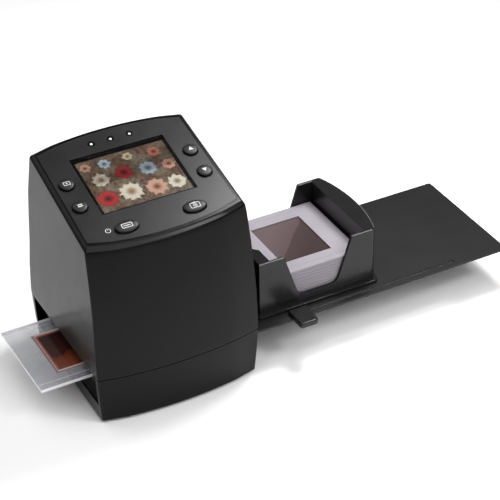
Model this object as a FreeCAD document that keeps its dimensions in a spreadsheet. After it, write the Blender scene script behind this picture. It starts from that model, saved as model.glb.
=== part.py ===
import FreeCAD, Part
import math
import os
import re

import Sketcher

# A desktop scanner for film negatives and 50 mm slides, in millimetres, +Z up, standing on z = 0.
# Every piece is drawn about the housing: x = 0 is the middle of the housing and the film gate,
# y = 0 the line that the slides run along, and +X the way that the tray comes out. The finished
# part is then shifted so that its origin is under the middle of its whole outline.

SIZES = {
    # Clearances and small allowances
    "overrun": 1.0,
    "running_gap": 0.3,
    "fit_gap": 0.15,
    "wall": 2.2,
    "board_thickness": 1.2,
    "screw_radius": 0.9,
    "screw_play": 0.1,
    # Housing sections, from the table up: height, half width, corner to front, corner to back;
    # the shoulder is so far under the panel's front line and the crown so far above it
    "foot_level": 0.8,
    "foot_half_width": 39.8,
    "foot_front": 38.0,
    "foot_back": 37.9,
    "belt_level": 30.0,
    "belt_half_width": 41.3,
    "belt_front": 39.9,
    "belt_back": 39.32,
    "waist_level": 60.0,
    "waist_half_width": 40.5,
    "waist_front": 38.3,
    "waist_back": 36.2,
    "shoulder_drop": 5.79,
    "shoulder_half_width": 39.7,
    "shoulder_front": 33.8,
    "shoulder_back": 33.4,
    "crown_rise": 20.21,
    "crown_half_width": 38.3,
    "crown_front": 26.6,
    "crown_back": 28.5,
    # Convex front and back: where the flat facets start, how far they fall back and the arc's
    # rise; the bevels of the standing corners and of the bottom
    "crease_share": 0.72,
    "facet_depth": 2.7,
    "face_rise": 2.2,
    "corner_cut": 0.6,
    "toe_cut": 0.9,
    # Base shell
    "seam_level": 26.0,
    "seam_groove_depth": 0.6,
    "seam_groove_height": 0.4,
    "slot_half_depth": 36.3,
    "slot_lip_level": 9.8,
    "ramp_top_level": 16.4,
    "ramp_thickness": 1.6,
    "ramp_start": 40.0,
    "ramp_end": 34.6,
    "rail_inner": 31.0,
    "rail_thickness": 2.0,
    "rail_reach": 37.0,
    "guide_thickness": 1.5,
    "guide_height": 2.6,
    "pillar_length": 5.0,
    "pillar_place": 28.0,
    "post_radius": 2.1,
    "post_place": 16.0,
    "post_reach": 38.0,
    "upper_post_height": 20.0,
    "screw_head_radius": 1.7,
    "screw_head_height": 1.2,
    "screw_head_depth": 2.0,
    "screw_length": 30.0,
    "foot_radius": 4.0,
    "foot_height": 1.6,
    "foot_place_x": 33.0,
    "foot_place_y": 31.0,
    # Sloping control panel: where its front line lies, its tilt, thicknesses and margins
    "panel_front": 30.28,
    "panel_height": 93.79,
    "panel_tilt": 14.22,
    "rim_width": 2.5,
    "rim_bevel": 1.35,
    "ledge_width": 1.0,
    "panel_thickness": 1.6,
    "top_wall": 3.4,
    "boss_radius": 1.9,
    "boss_drop": 5.2,
    "boss_place_x": 31.4,
    "front_boss_place": 11.5,
    "back_boss_place": 48.5,
    "panel_screw_length": 4.6,
    # Picture screen
    "screen_middle": 32.5,
    "screen_half_width": 23.5,
    "screen_half_height": 18.6,
    "screen_recess": 1.1,
    "window_play": 0.15,
    "module_margin": 1.6,
    "module_thickness": 3.1,
    # Buttons: places on the panel, half sizes, height over the panel and travel; an oval has
    # two flat arcs and two tight ones that meet at its corners under the angle given
    "round_place": 30.9,
    "upper_round_place": 36.6,
    "lower_round_place": 21.8,
    "round_radius": 3.55,
    "oval_place": 16.7,
    "oval_line": 3.1,
    "oval_corner_x": 3.86,
    "oval_corner_y": 2.65,
    "oval_turn": 23.2,
    "button_rise": 1.2,
    "button_gap": 0.3,
    "button_bevel": 0.45,
    "button_flange": 0.7,
    "button_flange_thickness": 0.8,
    "button_travel": 0.6,
    "stem_radius": 1.4,
    "stem_rest_gap": 0.1,
    "dome_radius": 2.2,
    "dome_height": 0.6,
    "pad_thickness": 0.5,
    "lens_radius": 1.55,
    "lens_place": 9.6,
    "lens_line": 57.4,
    "lens_rise": 0.25,
    # Film slide and the channel it runs in
    "slide_side": 50.0,
    "slide_thickness": 1.6,
    "slide_window_x": 26.9,
    "slide_window_y": 32.5,
    "film_margin": 1.3,
    "film_thickness": 0.2,
    "film_pocket_height": 0.3,
    "mount_groove_place": 21.4,
    "mount_groove_width": 0.35,
    "mount_groove_depth": 0.15,
    # Tray: what is left right of the thumb slot, reach to the left, plate, channel
    "tray_margin": 28.8,
    "tray_tail": 38.0,
    "tray_half_depth": 35.5,
    "tray_top": 21.1,
    "tray_thickness": 1.1,
    "tray_rounding": 1.2,
    "channel_height": 1.95,
    "channel_floor": 1.2,
    "channel_half_depth": 27.4,
    "channel_rail": 2.0,
    "channel_end_inset": 2.5,
    "gate_half_length": 13.5,
    "gate_half_depth": 18.2,
    # Stack of slides and the magazine that holds it
    "stack_place": 80.3,
    "stack_pitch": 1.74,
    "magazine_left": 48.6,
    "magazine_right": 111.8,
    "magazine_half_depth": 27.0,
    "magazine_top": 51.7,
    "magazine_wall": 1.5,
    "magazine_room": 0.4,
    "magazine_flange": 2.0,
    "magazine_flange_side": 1.1,
    "magazine_flange_height": 1.7,
    "magazine_end_place": 106.6,
    "grip_bow": 4.6,
    "grip_roof": 1.8,
    "grip_rounding": 2.2,
    "recess_face": 51.6,
    "recess_outer": 15.5,
    "recess_inner": 12.0,
    "notch_middle": 80.5,
    "notch_top_half": 18.5,
    "notch_bottom_half": 10.5,
    "notch_bottom": 27.3,
    "notch_rounding": 5.0,
    "rim_edge": 0.4,
    "hook_length": 5.0,
    "hook_thickness": 1.0,
    "hook_offset": 0.4,
    "hook_barb": 0.7,
    "hook_barb_height": 0.6,
    "hook_place": 20.5,
    # Pusher: blade under the stack, arm, stem through the slot and thumb tab
    "blade_start": 25.3,
    "blade_length": 70.0,
    "blade_thickness": 1.45,
    "blade_play": 0.2,
    "pusher_travel": 84.0,
    "tab_left": 61.8,
    "tab_right": 71.5,
    "tab_inner": 30.7,
    "tab_lip_depth": 7.7,
    "tab_top": 23.4,
    "tab_play": 0.1,
    "tab_lip": 20.6,
    "tab_lip_play": 0.5,
    "tab_rounding": 1.6,
    "tab_edge": 0.4,
    "stem_inset": 0.8,
    "thumb_slot_middle": 31.9,
    "thumb_slot_width": 1.5,
    "thumb_slot_play": 0.5,
    "arm_reach": 33.2,
    "arm_thickness": 0.95,
    # Clear film holder pushed out at the left
    "holder_reach": 63.3,
    "holder_base_thickness": 0.9,
    "holder_cover_thickness": 0.7,
    "holder_ledge": 1.2,
    "holder_edge_play": 0.15,
    "ridge_place": 21.2,
    "ridge_width": 0.6,
    "ridge_height": 0.15,
    # Light source under the film
    "light_boss_radius": 2.0,
    "light_boss_height": 1.0,
    "light_boss_place_x": 18.0,
    "light_boss_place_y": 20.0,
    "light_half_length": 22.0,
    "light_half_depth": 24.0,
    "light_box_wall": 1.4,
    "diffuser_thickness": 1.5,
    "gate_gap": 0.35,
    "gate_plate": 0.6,
    "gate_skirt_wall": 1.4,
    "gate_skirt_drop": 3.0,
    "light_length": 3.5,
    "light_depth": 2.8,
    "light_height": 1.0,
    "light_step_x": 12.0,
    "light_step_y": 14.0,
    # Camera over the film; each level is so far under the one above it
    "guide_level": 26.4,
    "guide_plate": 2.0,
    "guide_half_length": 33.0,
    "bracket_flange": 1.6,
    "bracket_flange_half_length": 30.0,
    "bracket_flange_half_depth": 30.0,
    "shaft_half_length": 17.0,
    "shaft_half_depth": 21.0,
    "shaft_top_half": 10.0,
    "shaft_drop": 12.0,
    "shaft_wall": 1.6,
    "deck_thickness": 2.0,
    "deck_half_length": 22.0,
    "deck_half_depth": 17.0,
    "barrel_radius": 6.8,
    "barrel_bore": 5.2,
    "barrel_drop": 8.0,
    "barrel_gap": 2.0,
    "barrel_flange_radius": 8.6,
    "barrel_flange": 1.5,
    "barrel_stop": 0.8,
    "element_radius": 5.1,
    "element_thickness": 2.2,
    "element_spacing": 5.2,
    "filter_thickness": 0.5,
    "sensor_side": 8.0,
    "sensor_thickness": 1.0,
    "sensor_board_drop": 10.0,
    "sensor_board_half_length": 16.0,
    "sensor_board_half_depth": 13.5,
    "sensor_post_radius": 1.6,
    "sensor_post_place_x": 13.5,
    "sensor_post_place_y": 11.0,
    # Main board, which hangs so far under the panel's front line, and the sockets on its edge
    "main_board_drop": 13.79,
    "main_board_half_length": 32.0,
    "main_board_front": 22.0,
    "main_board_back": 31.0,
    "main_post_radius": 2.0,
    "main_post_place_x": 19.6,
    "main_post_place_y": 14.4,
    "small_screw_radius": 0.9,
    "small_head_radius": 1.7,
    "small_head_height": 1.0,
    "small_screw_length": 5.0,
    "socket_face": 35.6,
    "socket_wall": 0.4,
    "socket_opening_play": 0.5,
    "socket_opening_reach": 3.0,
    "usb_place": 20.0,
    "usb_width": 7.7,
    "usb_height": 4.0,
    "usb_depth": 9.2,
    "usb_hollow_depth": 6.0,
    "usb_tongue": 1.0,
    "video_place": 6.0,
    "video_width": 7.0,
    "video_height": 6.4,
    "video_depth": 12.0,
    "video_bore": 1.75,
    "video_bore_depth": 11.0,
    "card_place": 14.5,
    "card_width": 26.0,
    "card_height": 3.2,
    "card_depth": 19.0,
    "card_slot_width": 24.4,
    "card_slot_height": 2.4,
    "card_slot_depth": 17.0,
    # Flat ribbons and the spring that rubs on the tray's back edge
    "ribbon_thickness": 0.3,
    "ribbon_half_width": 7.0,
    "ribbon_foot": 5.0,
    "screen_ribbon_place": 14.0,
    "sensor_ribbon_place": 9.0,
    "spring_thickness": 0.3,
    "spring_height": 3.0,
    "spring_half_length": 8.0,
    "spring_foot": 3.0,
    "spring_touch": 0.3,
    "spring_stop": 1.2,
}

doc = FreeCAD.newDocument("film_negative_scanner")
sheet = doc.addObject("Spreadsheet::Sheet", "Sizes")


# Sizes and formulas

def fill_sheet():
    """Write every named size into the sheet and give its cell the name."""
    for row, (name, size) in enumerate(SIZES.items(), start=1):
        sheet.set(f"A{row}", name)
        sheet.set(f"B{row}", str(size))
        sheet.setAlias(f"B{row}", name)
    doc.recompute()


def sized(formula):
    """The formula with each size name turned into a reference to the sheet."""
    return re.sub(
        r"[a-z][a-z_]*",
        lambda word: "Sizes." + word.group() if word.group() in SIZES else word.group(),
        str(formula),
    )


def number(formula):
    """What a formula of size names comes to."""
    return float(sheet.evalExpression(str(formula)))


def total(*formulas):
    """Several formulas added up."""
    return " + ".join(f"({formula})" for formula in formulas)


def negative(formula):
    """A formula with its sign turned."""
    return f"-({formula})"


def about(middle, half):
    """The span that reaches half to each side of a middle."""
    return f"({middle}) - ({half})", f"({middle}) + ({half})"


def from_to(low, extent):
    """The span that starts at low and has the extent given."""
    return low, f"({low}) + ({extent})"


# Places that several pieces share

PLATE_UNDERSIDE = "tray_top - tray_thickness"
CHANNEL_FLOOR = total(PLATE_UNDERSIDE, "-channel_height")
CHANNEL_UNDERSIDE = total(CHANNEL_FLOOR, "-channel_floor")
STACK_BOTTOM = total(CHANNEL_FLOOR, "blade_thickness")
FLOOR = "foot_level + wall"
LIGHT_BOARD = total(FLOOR, "light_boss_height")
LIGHT_BOX = total(LIGHT_BOARD, "board_thickness")
GATE_TOP = total(CHANNEL_UNDERSIDE, "-gate_gap")
DIFFUSER_TOP = total(GATE_TOP, "-gate_plate")
DIFFUSER_BOTTOM = total(DIFFUSER_TOP, "-diffuser_thickness")
BRACKET = "guide_level + guide_plate"
MAIN_BOARD = "panel_height - main_board_drop"
MAIN_BOARD_TOP = total(MAIN_BOARD, "board_thickness")
SENSOR_BOARD = total(MAIN_BOARD, "-sensor_board_drop")
SENSOR_BOARD_TOP = total(SENSOR_BOARD, "board_thickness")
SENSOR_BOTTOM = total(SENSOR_BOARD, "-sensor_thickness")
SHAFT_TOP = total(SENSOR_BOARD, "-shaft_drop")
DECK_TOP = total(SHAFT_TOP, "deck_thickness")
BARREL_BOTTOM = total(SHAFT_TOP, "-barrel_drop")
BARREL_TOP = total(SENSOR_BOARD, "-barrel_gap")
MODULE_BOTTOM = "-(panel_thickness + module_thickness)"
PAD_TOP = MODULE_BOTTOM
PAD_BOTTOM = total(MODULE_BOTTOM, "-pad_thickness")
BUTTON_BOARD_BOTTOM = total(PAD_BOTTOM, "-board_thickness")
OVAL_FLAT = "tan(oval_turn / 2)"
OVAL_TIGHT = f"(1 - {OVAL_FLAT}) / (1 + {OVAL_FLAT})"
OVAL_HALF_LENGTH = f"(oval_corner_x + oval_corner_y * {OVAL_TIGHT})"
OVAL_HALF_WIDTH = f"(oval_corner_y + oval_corner_x * {OVAL_FLAT})"
STEM_LEFT = "tab_left + stem_inset"
STEM_RIGHT = "tab_right - stem_inset"
HOLDER_MIDDLE = "slide_side / 2 - holder_reach"
GUIDE_INNER = "tray_half_depth + running_gap"
GUIDE_OUTER = total(GUIDE_INNER, "guide_thickness")
SPRING_BOTTOM = total(PLATE_UNDERSIDE, "-spring_height / 2")
TRAY_RIGHT = "tab_right + pusher_travel + tray_margin"
TAB_LIP = "tray_half_depth + tab_lip_play"
TAB_OUTER = total(TAB_LIP, "tab_lip_depth")
SHIFT_X = f"(holder_reach - ({TRAY_RIGHT})) / 2"
SHIFT_Y = "(belt_front - belt_back) / 2"


def places_about(x, y):
    """Four places that mirror each other about the housing's middle."""
    return [(f"{side} * {x}", f"{end} * {y}") for side in (-1, 1) for end in (-1, 1)]


# Primitives and booleans

PEG_SIDES = 12
QUARTER_TURN = 90
UPENDED = FreeCAD.Placement(
    FreeCAD.Vector(0, 0, 0), FreeCAD.Rotation(FreeCAD.Vector(1, 0, 0), QUARTER_TURN)
)


def block(name, x_span, y_span, z_span):
    """A box from three spans."""
    solid = doc.addObject("Part::Box", name)
    spans = (("Length", "x", x_span), ("Width", "y", y_span), ("Height", "z", z_span))
    for extent, place, (low, high) in spans:
        solid.setExpression(extent, sized(f"({high}) - ({low})"))
        solid.setExpression("Placement.Base." + place, sized(low))
    return solid


def set_upright(solid, centre, z_span):
    """Give an upright solid its height and its place."""
    low, high = z_span
    solid.setExpression("Height", sized(f"({high}) - ({low})"))
    for place, formula in zip("xyz", (*centre, low)):
        solid.setExpression("Placement.Base." + place, sized(formula))
    return solid


def rod(name, centre, z_span, radius):
    """An upright cylinder."""
    solid = doc.addObject("Part::Cylinder", name)
    solid.setExpression("Radius", sized(radius))
    return set_upright(solid, centre, z_span)


def peg(name, centre, z_span, radius):
    """An upright twelve-sided rod, for small posts, screws and their holes."""
    solid = doc.addObject("Part::Prism", name)
    solid.Polygon = PEG_SIDES
    solid.setExpression("Circumradius", sized(radius))
    return set_upright(solid, centre, z_span)


def cross_rod(name, x, z, y_span, radius):
    """A cylinder that lies along Y."""
    solid = doc.addObject("Part::Cylinder", name)
    low, high = y_span
    solid.Placement = UPENDED
    solid.setExpression("Radius", sized(radius))
    solid.setExpression("Height", sized(f"({high}) - ({low})"))
    for place, formula in zip("xyz", (x, high, z)):
        solid.setExpression("Placement.Base." + place, sized(formula))
    return solid


def tilt_to_panel(solid, x, along, out):
    """Lay a solid on the control panel: x, the way up the slope, and out of the panel."""
    solid.Placement = FreeCAD.Placement(
        FreeCAD.Vector(0, 0, 0), FreeCAD.Rotation(FreeCAD.Vector(1, 0, 0), number("panel_tilt"))
    )
    solid.setExpression("Placement.Rotation.Angle", sized("panel_tilt"))
    solid.setExpression("Placement.Base.x", sized(x))
    y = f"-panel_front + ({along}) * cos(panel_tilt) - ({out}) * sin(panel_tilt)"
    z = f"panel_height + ({along}) * sin(panel_tilt) + ({out}) * cos(panel_tilt)"
    solid.setExpression("Placement.Base.y", sized(y))
    solid.setExpression("Placement.Base.z", sized(z))
    return solid


def panel_block(name, x_span, along_span, out_span):
    """A box whose sides follow the panel's slope."""
    solid = doc.addObject("Part::Box", name)
    spans = (("Length", x_span), ("Width", along_span), ("Height", out_span))
    for extent, (low, high) in spans:
        solid.setExpression(extent, sized(f"({high}) - ({low})"))
    return tilt_to_panel(solid, x_span[0], along_span[0], out_span[0])


def panel_rod(name, x, along, out_span, radius):
    """A cylinder square to the panel."""
    solid = doc.addObject("Part::Cylinder", name)
    low, high = out_span
    solid.setExpression("Radius", sized(radius))
    solid.setExpression("Height", sized(f"({high}) - ({low})"))
    return tilt_to_panel(solid, x, along, low)


def panel_peg(name, x, along, out_span, radius):
    """A twelve-sided rod square to the panel."""
    solid = doc.addObject("Part::Prism", name)
    low, high = out_span
    solid.Polygon = PEG_SIDES
    solid.setExpression("Circumradius", sized(radius))
    solid.setExpression("Height", sized(f"({high}) - ({low})"))
    return tilt_to_panel(solid, x, along, low)


def panel_oval(name, x, along, out_span, growth):
    """An oval prism square to the panel, larger all round than a button by a growth."""
    body = new_body(name)
    corner_x = f"(oval_corner_x + ({growth}) * sin(oval_turn))"
    corner_y = f"(oval_corner_y + ({growth}) * cos(oval_turn))"
    corners = [
        (negative(corner_x), negative(corner_y)),
        (corner_x, negative(corner_y)),
        (corner_x, corner_y),
        (negative(corner_x), corner_y),
    ]
    flat = f"{corner_x} * {OVAL_FLAT}"
    tight = f"{corner_y} * {OVAL_TIGHT}"
    bows = {0: flat, 1: tight, 2: flat, 3: tight}
    low, high = out_span
    height = ("0", f"({high}) - ({low})")
    prism(body, "Pad", height, lambda sketch: outline(sketch, corners, bows))
    return tilt_to_panel(body, x, along, low)


def fuse(name, *solids):
    """Several solids joined into one."""
    joined = doc.addObject("Part::MultiFuse", name)
    joined.Shapes = list(solids)
    joined.Refine = True
    return joined


def cut(name, base, *tools):
    """A solid with one or more tools taken out of it."""
    result = doc.addObject("Part::Cut", name)
    result.Base = base
    result.Tool = tools[0] if len(tools) == 1 else fuse(name + "_tools", *tools)
    return result


def overlap(name, *solids):
    """What several solids have in common."""
    shared = doc.addObject("Part::MultiCommon", name)
    shared.Shapes = list(solids)
    return shared


def dressed(name, kind, base, size, chosen):
    """A solid with a fillet or a chamfer on the edges that pass a test."""
    doc.recompute()
    result = doc.addObject("Part::" + kind, name)
    result.Base = base
    result.Edges = [
        (index, number(size), number(size))
        for index, edge in enumerate(base.Shape.Edges, start=1)
        if chosen(edge)
    ]
    return result


# Sketched bodies

def new_body(name):
    """An empty body."""
    return doc.addObject("PartDesign::Body", name)


def sketch_on(body, plane, offset):
    """A sketch on one of the body's own planes, moved along its normal."""
    sketch = body.newObject("Sketcher::SketchObject", body.Name + "_sketch")
    base = [item for item in body.Origin.OriginFeatures if item.Role == plane]
    sketch.AttachmentSupport = [(base[0], "")]
    sketch.MapMode = "FlatFace"
    sketch.setExpression("AttachmentOffset.Base.z", sized(offset))
    return sketch


def bind(sketch, kind, geometry, formula):
    """A dimension of the sketch that follows a formula."""
    index = sketch.addConstraint(Sketcher.Constraint(kind, *geometry, number(formula)))
    sketch.setExpression(f"Constraints[{index}]", sized(formula))


def outline(sketch, corners, bows=None):
    """A closed outline through corners given anticlockwise.

    bows maps an edge's number to how far its arc stands outwards from the straight line.
    """
    bows = bows or {}
    points = [FreeCAD.Vector(number(x), number(y), 0) for x, y in corners]
    starts = []
    ends = []
    for index, start in enumerate(points):
        end = points[(index + 1) % len(points)]
        if index not in bows:
            edge = sketch.addGeometry(Part.LineSegment(start, end), False)
            starts.append((edge, 1))
            ends.append((edge, 2))
            continue
        chord = end - start
        outwards = FreeCAD.Vector(chord.y, -chord.x, 0).normalize()
        rise = number(bows[index])
        middle = (start + end) * 0.5 + outwards * rise
        if rise > 0:
            edge = sketch.addGeometry(Part.Arc(start, middle, end), False)
            starts.append((edge, 1))
            ends.append((edge, 2))
        else:
            edge = sketch.addGeometry(Part.Arc(end, middle, start), False)
            starts.append((edge, 2))
            ends.append((edge, 1))
    for index, (x, y) in enumerate(corners):
        sketch.addConstraint(
            Sketcher.Constraint("Coincident", *ends[index - 1], *starts[index])
        )
        bind(sketch, "DistanceX", (-1, 1, *starts[index]), x)
        bind(sketch, "DistanceY", (-1, 1, *starts[index]), y)
    for index, bow in bows.items():
        (x, y), (far_x, far_y) = corners[index], corners[(index + 1) % len(corners)]
        half_chord_squared = f"((({far_x}) - ({x}))^2 + (({far_y}) - ({y}))^2) / 4"
        radius = f"abs(({half_chord_squared} + ({bow})^2) / (2 * ({bow})))"
        bind(sketch, "Radius", (starts[index][0],), radius)


def rectangle(sketch, x_span, y_span):
    """A rectangle from two spans."""
    outline(
        sketch,
        [
            (x_span[0], y_span[0]),
            (x_span[1], y_span[0]),
            (x_span[1], y_span[1]),
            (x_span[0], y_span[1]),
        ],
    )


def prism(body, kind, span, draw, plane="XY_Plane"):
    """A pad or a pocket over a span along the plane's normal; draw fills its sketch."""
    low, high = span
    sketch = sketch_on(body, plane, low)
    draw(sketch)
    feature = body.newObject("PartDesign::" + kind, f"{body.Name}_{kind.lower()}")
    feature.Profile = sketch
    feature.setExpression("Length", sized(f"({high}) - ({low})"))
    feature.Reversed = kind == "Pocket"
    sketch.Visibility = False
    return feature


EDGE_SIZE = {"Fillet": "Radius", "Chamfer": "Size"}


def dress_edges(body, kind, size, chosen):
    """Put a fillet or a chamfer on the edges of the body's last feature that pass a test."""
    doc.recompute()
    tip = body.Tip
    names = [f"Edge{i}" for i, edge in enumerate(tip.Shape.Edges, start=1) if chosen(edge)]
    feature = body.newObject("PartDesign::" + kind, f"{body.Name}_{kind.lower()}")
    feature.Base = (tip, names)
    feature.setExpression(EDGE_SIZE[kind], sized(size))
    return feature


def direction(edge):
    """The unit vector from one end of an edge to the other, or none for a closed edge."""
    if len(edge.Vertexes) < 2:
        return FreeCAD.Vector(0, 0, 0)
    along = edge.Vertexes[1].Point - edge.Vertexes[0].Point
    return along.normalize()


def middle_of(edge):
    """The point halfway along an edge."""
    return edge.valueAt((edge.FirstParameter + edge.LastParameter) / 2)


# Finished pieces

PIECES = []
SAME_PLACE = 1e-4
NEARLY_UPRIGHT_SHARE = 0.9


def finish(solid, label):
    """Name a piece and shift it so that the part's origin is under the middle of its outline."""
    PIECES.append((solid, label))
    if solid.TypeId in ("Part::Box", "Part::Cylinder", "Part::Extrusion"):
        held = doc.addObject("Part::Compound", label + "_piece")
        held.Links = [solid]
        solid = held
        PIECES[-1] = (solid, label)
    solid.Label = label
    solid.setExpression("Placement.Base.x", sized(SHIFT_X))
    solid.setExpression("Placement.Base.y", sized(SHIFT_Y))
    return solid


def group(label, solids):
    """Like pieces that share one name, each its own solid."""
    gathered = doc.addObject("Part::Compound", label + "_group")
    gathered.Links = list(solids)
    return finish(gathered, label)


# The housing's form

SECTION_LEVELS = {
    "foot": "foot_level + toe_cut",
    "belt": "belt_level",
    "waist": "waist_level",
    "shoulder": "panel_height - shoulder_drop",
    "crown": "panel_height + crown_rise",
}
NEAR_SHARE = 9 / 16
FAR_SHARE = 1 / 16
TOE = ["foot_level", "foot_half_width - toe_cut", "foot_front - toe_cut", "foot_back - toe_cut"]
NAMED_SECTIONS = [
    [level, f"{name}_half_width", f"{name}_front", f"{name}_back"]
    for name, level in SECTION_LEVELS.items()
]


def smooth_sections():
    """The named sections up to the shoulder with one more in each gap, on a smooth curve."""
    sections = [TOE, NAMED_SECTIONS[0]]
    for index in range(1, len(NAMED_SECTIONS) - 1):
        low, high, after = NAMED_SECTIONS[index - 1 : index + 2]
        before = NAMED_SECTIONS[max(index - 2, 0)]
        sections.append(
            [
                f"({low[i]} + {high[i]}) * {NEAR_SHARE} - ({before[i]} + {after[i]}) * {FAR_SHARE}"
                for i in range(len(low))
            ]
        )
        sections.append(high)
    return sections + NAMED_SECTIONS[-1:]


def housing_form(name, inset, sections, bevelled=False):
    """The housing's bulging form through some sections, with every side drawn in by an inset."""
    body = new_body(name)
    profiles = []
    for level, half_width, front_reach, back_reach in sections:
        side = f"({half_width} - ({inset}))"
        front = f"-({front_reach} - ({inset}))"
        back = f"({back_reach} - ({inset}))"
        crease = f"{side} * crease_share"
        slope = f"facet_depth / ({side} - {crease})"
        corners = []
        arcs = []
        for face, out in ((front, -1), (back, 1)):
            half_row = [(crease, f"{face} + {out} * facet_depth")]
            if bevelled:
                half_row.append((f"{side} - corner_cut", f"{face} + {out} * corner_cut * {slope}"))
                half_row.append((side, f"{face} - {out} * corner_cut"))
            else:
                half_row.append((side, face))
            mirror_row = [(negative(x), y) for x, y in half_row]
            row = mirror_row[::-1] + half_row
            arcs.append(len(corners) + len(half_row) - 1)
            corners += row if out < 0 else row[::-1]
        profile = sketch_on(body, "XY_Plane", level)
        outline(profile, corners, {arc: "face_rise" for arc in arcs})
        profiles.append(profile)
    loft = body.newObject("PartDesign::AdditiveLoft", name + "_loft")
    loft.Profile = profiles[0]
    loft.Sections = profiles[1:]
    loft.Ruled = True
    loft.Closed = False
    return body


CROWN = SECTION_LEVELS["crown"]
WIDE = about("0", "2 * belt_half_width")
DEEP = about("0", "2 * belt_front")
TALL = about("0", f"2 * ({CROWN})")
ABOVE_PANEL = ("0", CROWN)
TOP_SECTIONS = NAMED_SECTIONS[-2:]


def on_panel_plane(point):
    """Whether a point lies in the plane of the control panel."""
    tilt = math.radians(number("panel_tilt"))
    along_y = point.y + number("panel_front")
    along_z = point.z - number("panel_height")
    return abs(along_z * math.cos(tilt) - along_y * math.sin(tilt)) < SAME_PLACE


def is_panel_rim(edge):
    """Whether an edge runs round the top of the upper shell."""
    points = [vertex.Point for vertex in edge.Vertexes] + [middle_of(edge)]
    return all(on_panel_plane(point) for point in points)


def trimmed_to_walls(name, solid):
    """A rib or boss cut off inside the housing's skin."""
    return overlap(name, solid, skin)


# Housing shells

def side_ramp(name, side):
    """The sloping lip under the film slot in one side wall."""
    body = new_body(name)
    start = f"{side} * ramp_start"
    end = f"{side} * ramp_end"
    lower = "slot_lip_level - ramp_thickness"
    corners = [
        (start, lower),
        (end, "ramp_top_level - ramp_thickness"),
        (end, "ramp_top_level"),
        (start, "slot_lip_level"),
    ]
    if side < 0:
        corners = corners[::-1]
    span = ("0", "2 * slot_half_depth")
    pad = prism(body, "Pad", span, lambda sketch: outline(sketch, corners), "XZ_Plane")
    pad.Midplane = True
    return body


def mirrored(end, low, high):
    """A span along Y, on the front side if end is negative."""
    return (f"-({high})", f"-({low})") if end < 0 else (low, high)


def base_ribs(end):
    """Rail, guide and pillars beside the tray's front or back edge."""
    rail = mirrored(end, "rail_inner", "rail_inner + rail_thickness")
    guide = mirrored(end, GUIDE_INNER, GUIDE_OUTER)
    guide_top = f"{PLATE_UNDERSIDE} + guide_height"
    ribs = [block("rail", about("0", "rail_reach"), rail, (FLOOR, PLATE_UNDERSIDE))]
    for side in (-1, 1):
        pillar = about(f"{side} * pillar_place", "pillar_length / 2")
        ribs.append(block("pillar", pillar, guide, (FLOOR, "guide_level")))
    if end < 0:
        ribs.append(block("guide", about("0", "rail_reach"), guide, (FLOOR, guide_top)))
        return ribs
    inner = "spring_half_length + running_gap"
    behind = f"{GUIDE_OUTER} + spring_thickness"
    for x_span in (("-rail_reach", negative(inner)), (inner, "rail_reach")):
        ribs.append(block("guide", x_span, guide, (FLOOR, guide_top)))
    for side in (-1, 1):
        foot = about(f"{side} * (spring_half_length + spring_foot / 2)", "spring_foot / 4")
        ribs.append(block("spring_stop", foot, from_to(behind, "spring_stop"), (FLOOR, guide_top)))
        shelf = (GUIDE_OUTER, behind)
        ribs.append(block("spring_shelf", foot, shelf, (FLOOR, SPRING_BOTTOM)))
    return ribs


def make_base_shell():
    """Lower housing: walls, film slots, rails for the tray, screw posts and foot recesses."""
    under_seam = block("under_seam", WIDE, DEEP, ("foot_level", "seam_level"))
    whole = overlap("base_whole", outside, under_seam)
    base_depth = block("base_depth", WIDE, DEEP, (FLOOR, "seam_level + overrun"))
    room = overlap("base_room", inside, base_depth)
    slot = block(
        "base_slot",
        WIDE,
        about("0", "slot_half_depth"),
        ("slot_lip_level", "seam_level + overrun"),
    )
    parts = [cut("base_walls", whole, room, slot)]
    for side in (-1, 1):
        ramp = side_ramp(f"ramp{side + 1}", side)
        parts.append(trimmed_to_walls(f"ramp_in_wall{side + 1}", ramp))
    for end in (-1, 1):
        ribs = base_ribs(end)
        for x in (-1, 1):
            centre = (f"{x} * post_place", f"{end} * post_reach")
            ribs.append(peg("post", centre, (FLOOR, "seam_level"), "post_radius"))
            centre = (f"{x} * light_boss_place_x", f"{end} * light_boss_place_y")
            ribs.append(peg("light_boss", centre, (FLOOR, LIGHT_BOARD), "light_boss_radius"))
        parts.append(trimmed_to_walls("ribs_in_walls", fuse("rib_set", *ribs)))
    solid = fuse("base_solid", *parts)
    holes = []
    shank_span = ("0", "seam_level + overrun")
    head_span = ("0", "foot_level + screw_head_depth")
    for centre in places_about("post_place", "post_reach"):
        holes.append(peg("base_hole", centre, shank_span, "screw_radius + screw_play"))
        holes.append(peg("head_hole", centre, head_span, "screw_head_radius + running_gap"))
    for centre in places_about("foot_place_x", "foot_place_y"):
        holes.append(rod("foot_hole", centre, ("0", "foot_height"), "foot_radius + fit_gap"))
    finish(cut("base_cut", solid, *holes), "base_shell")


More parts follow.
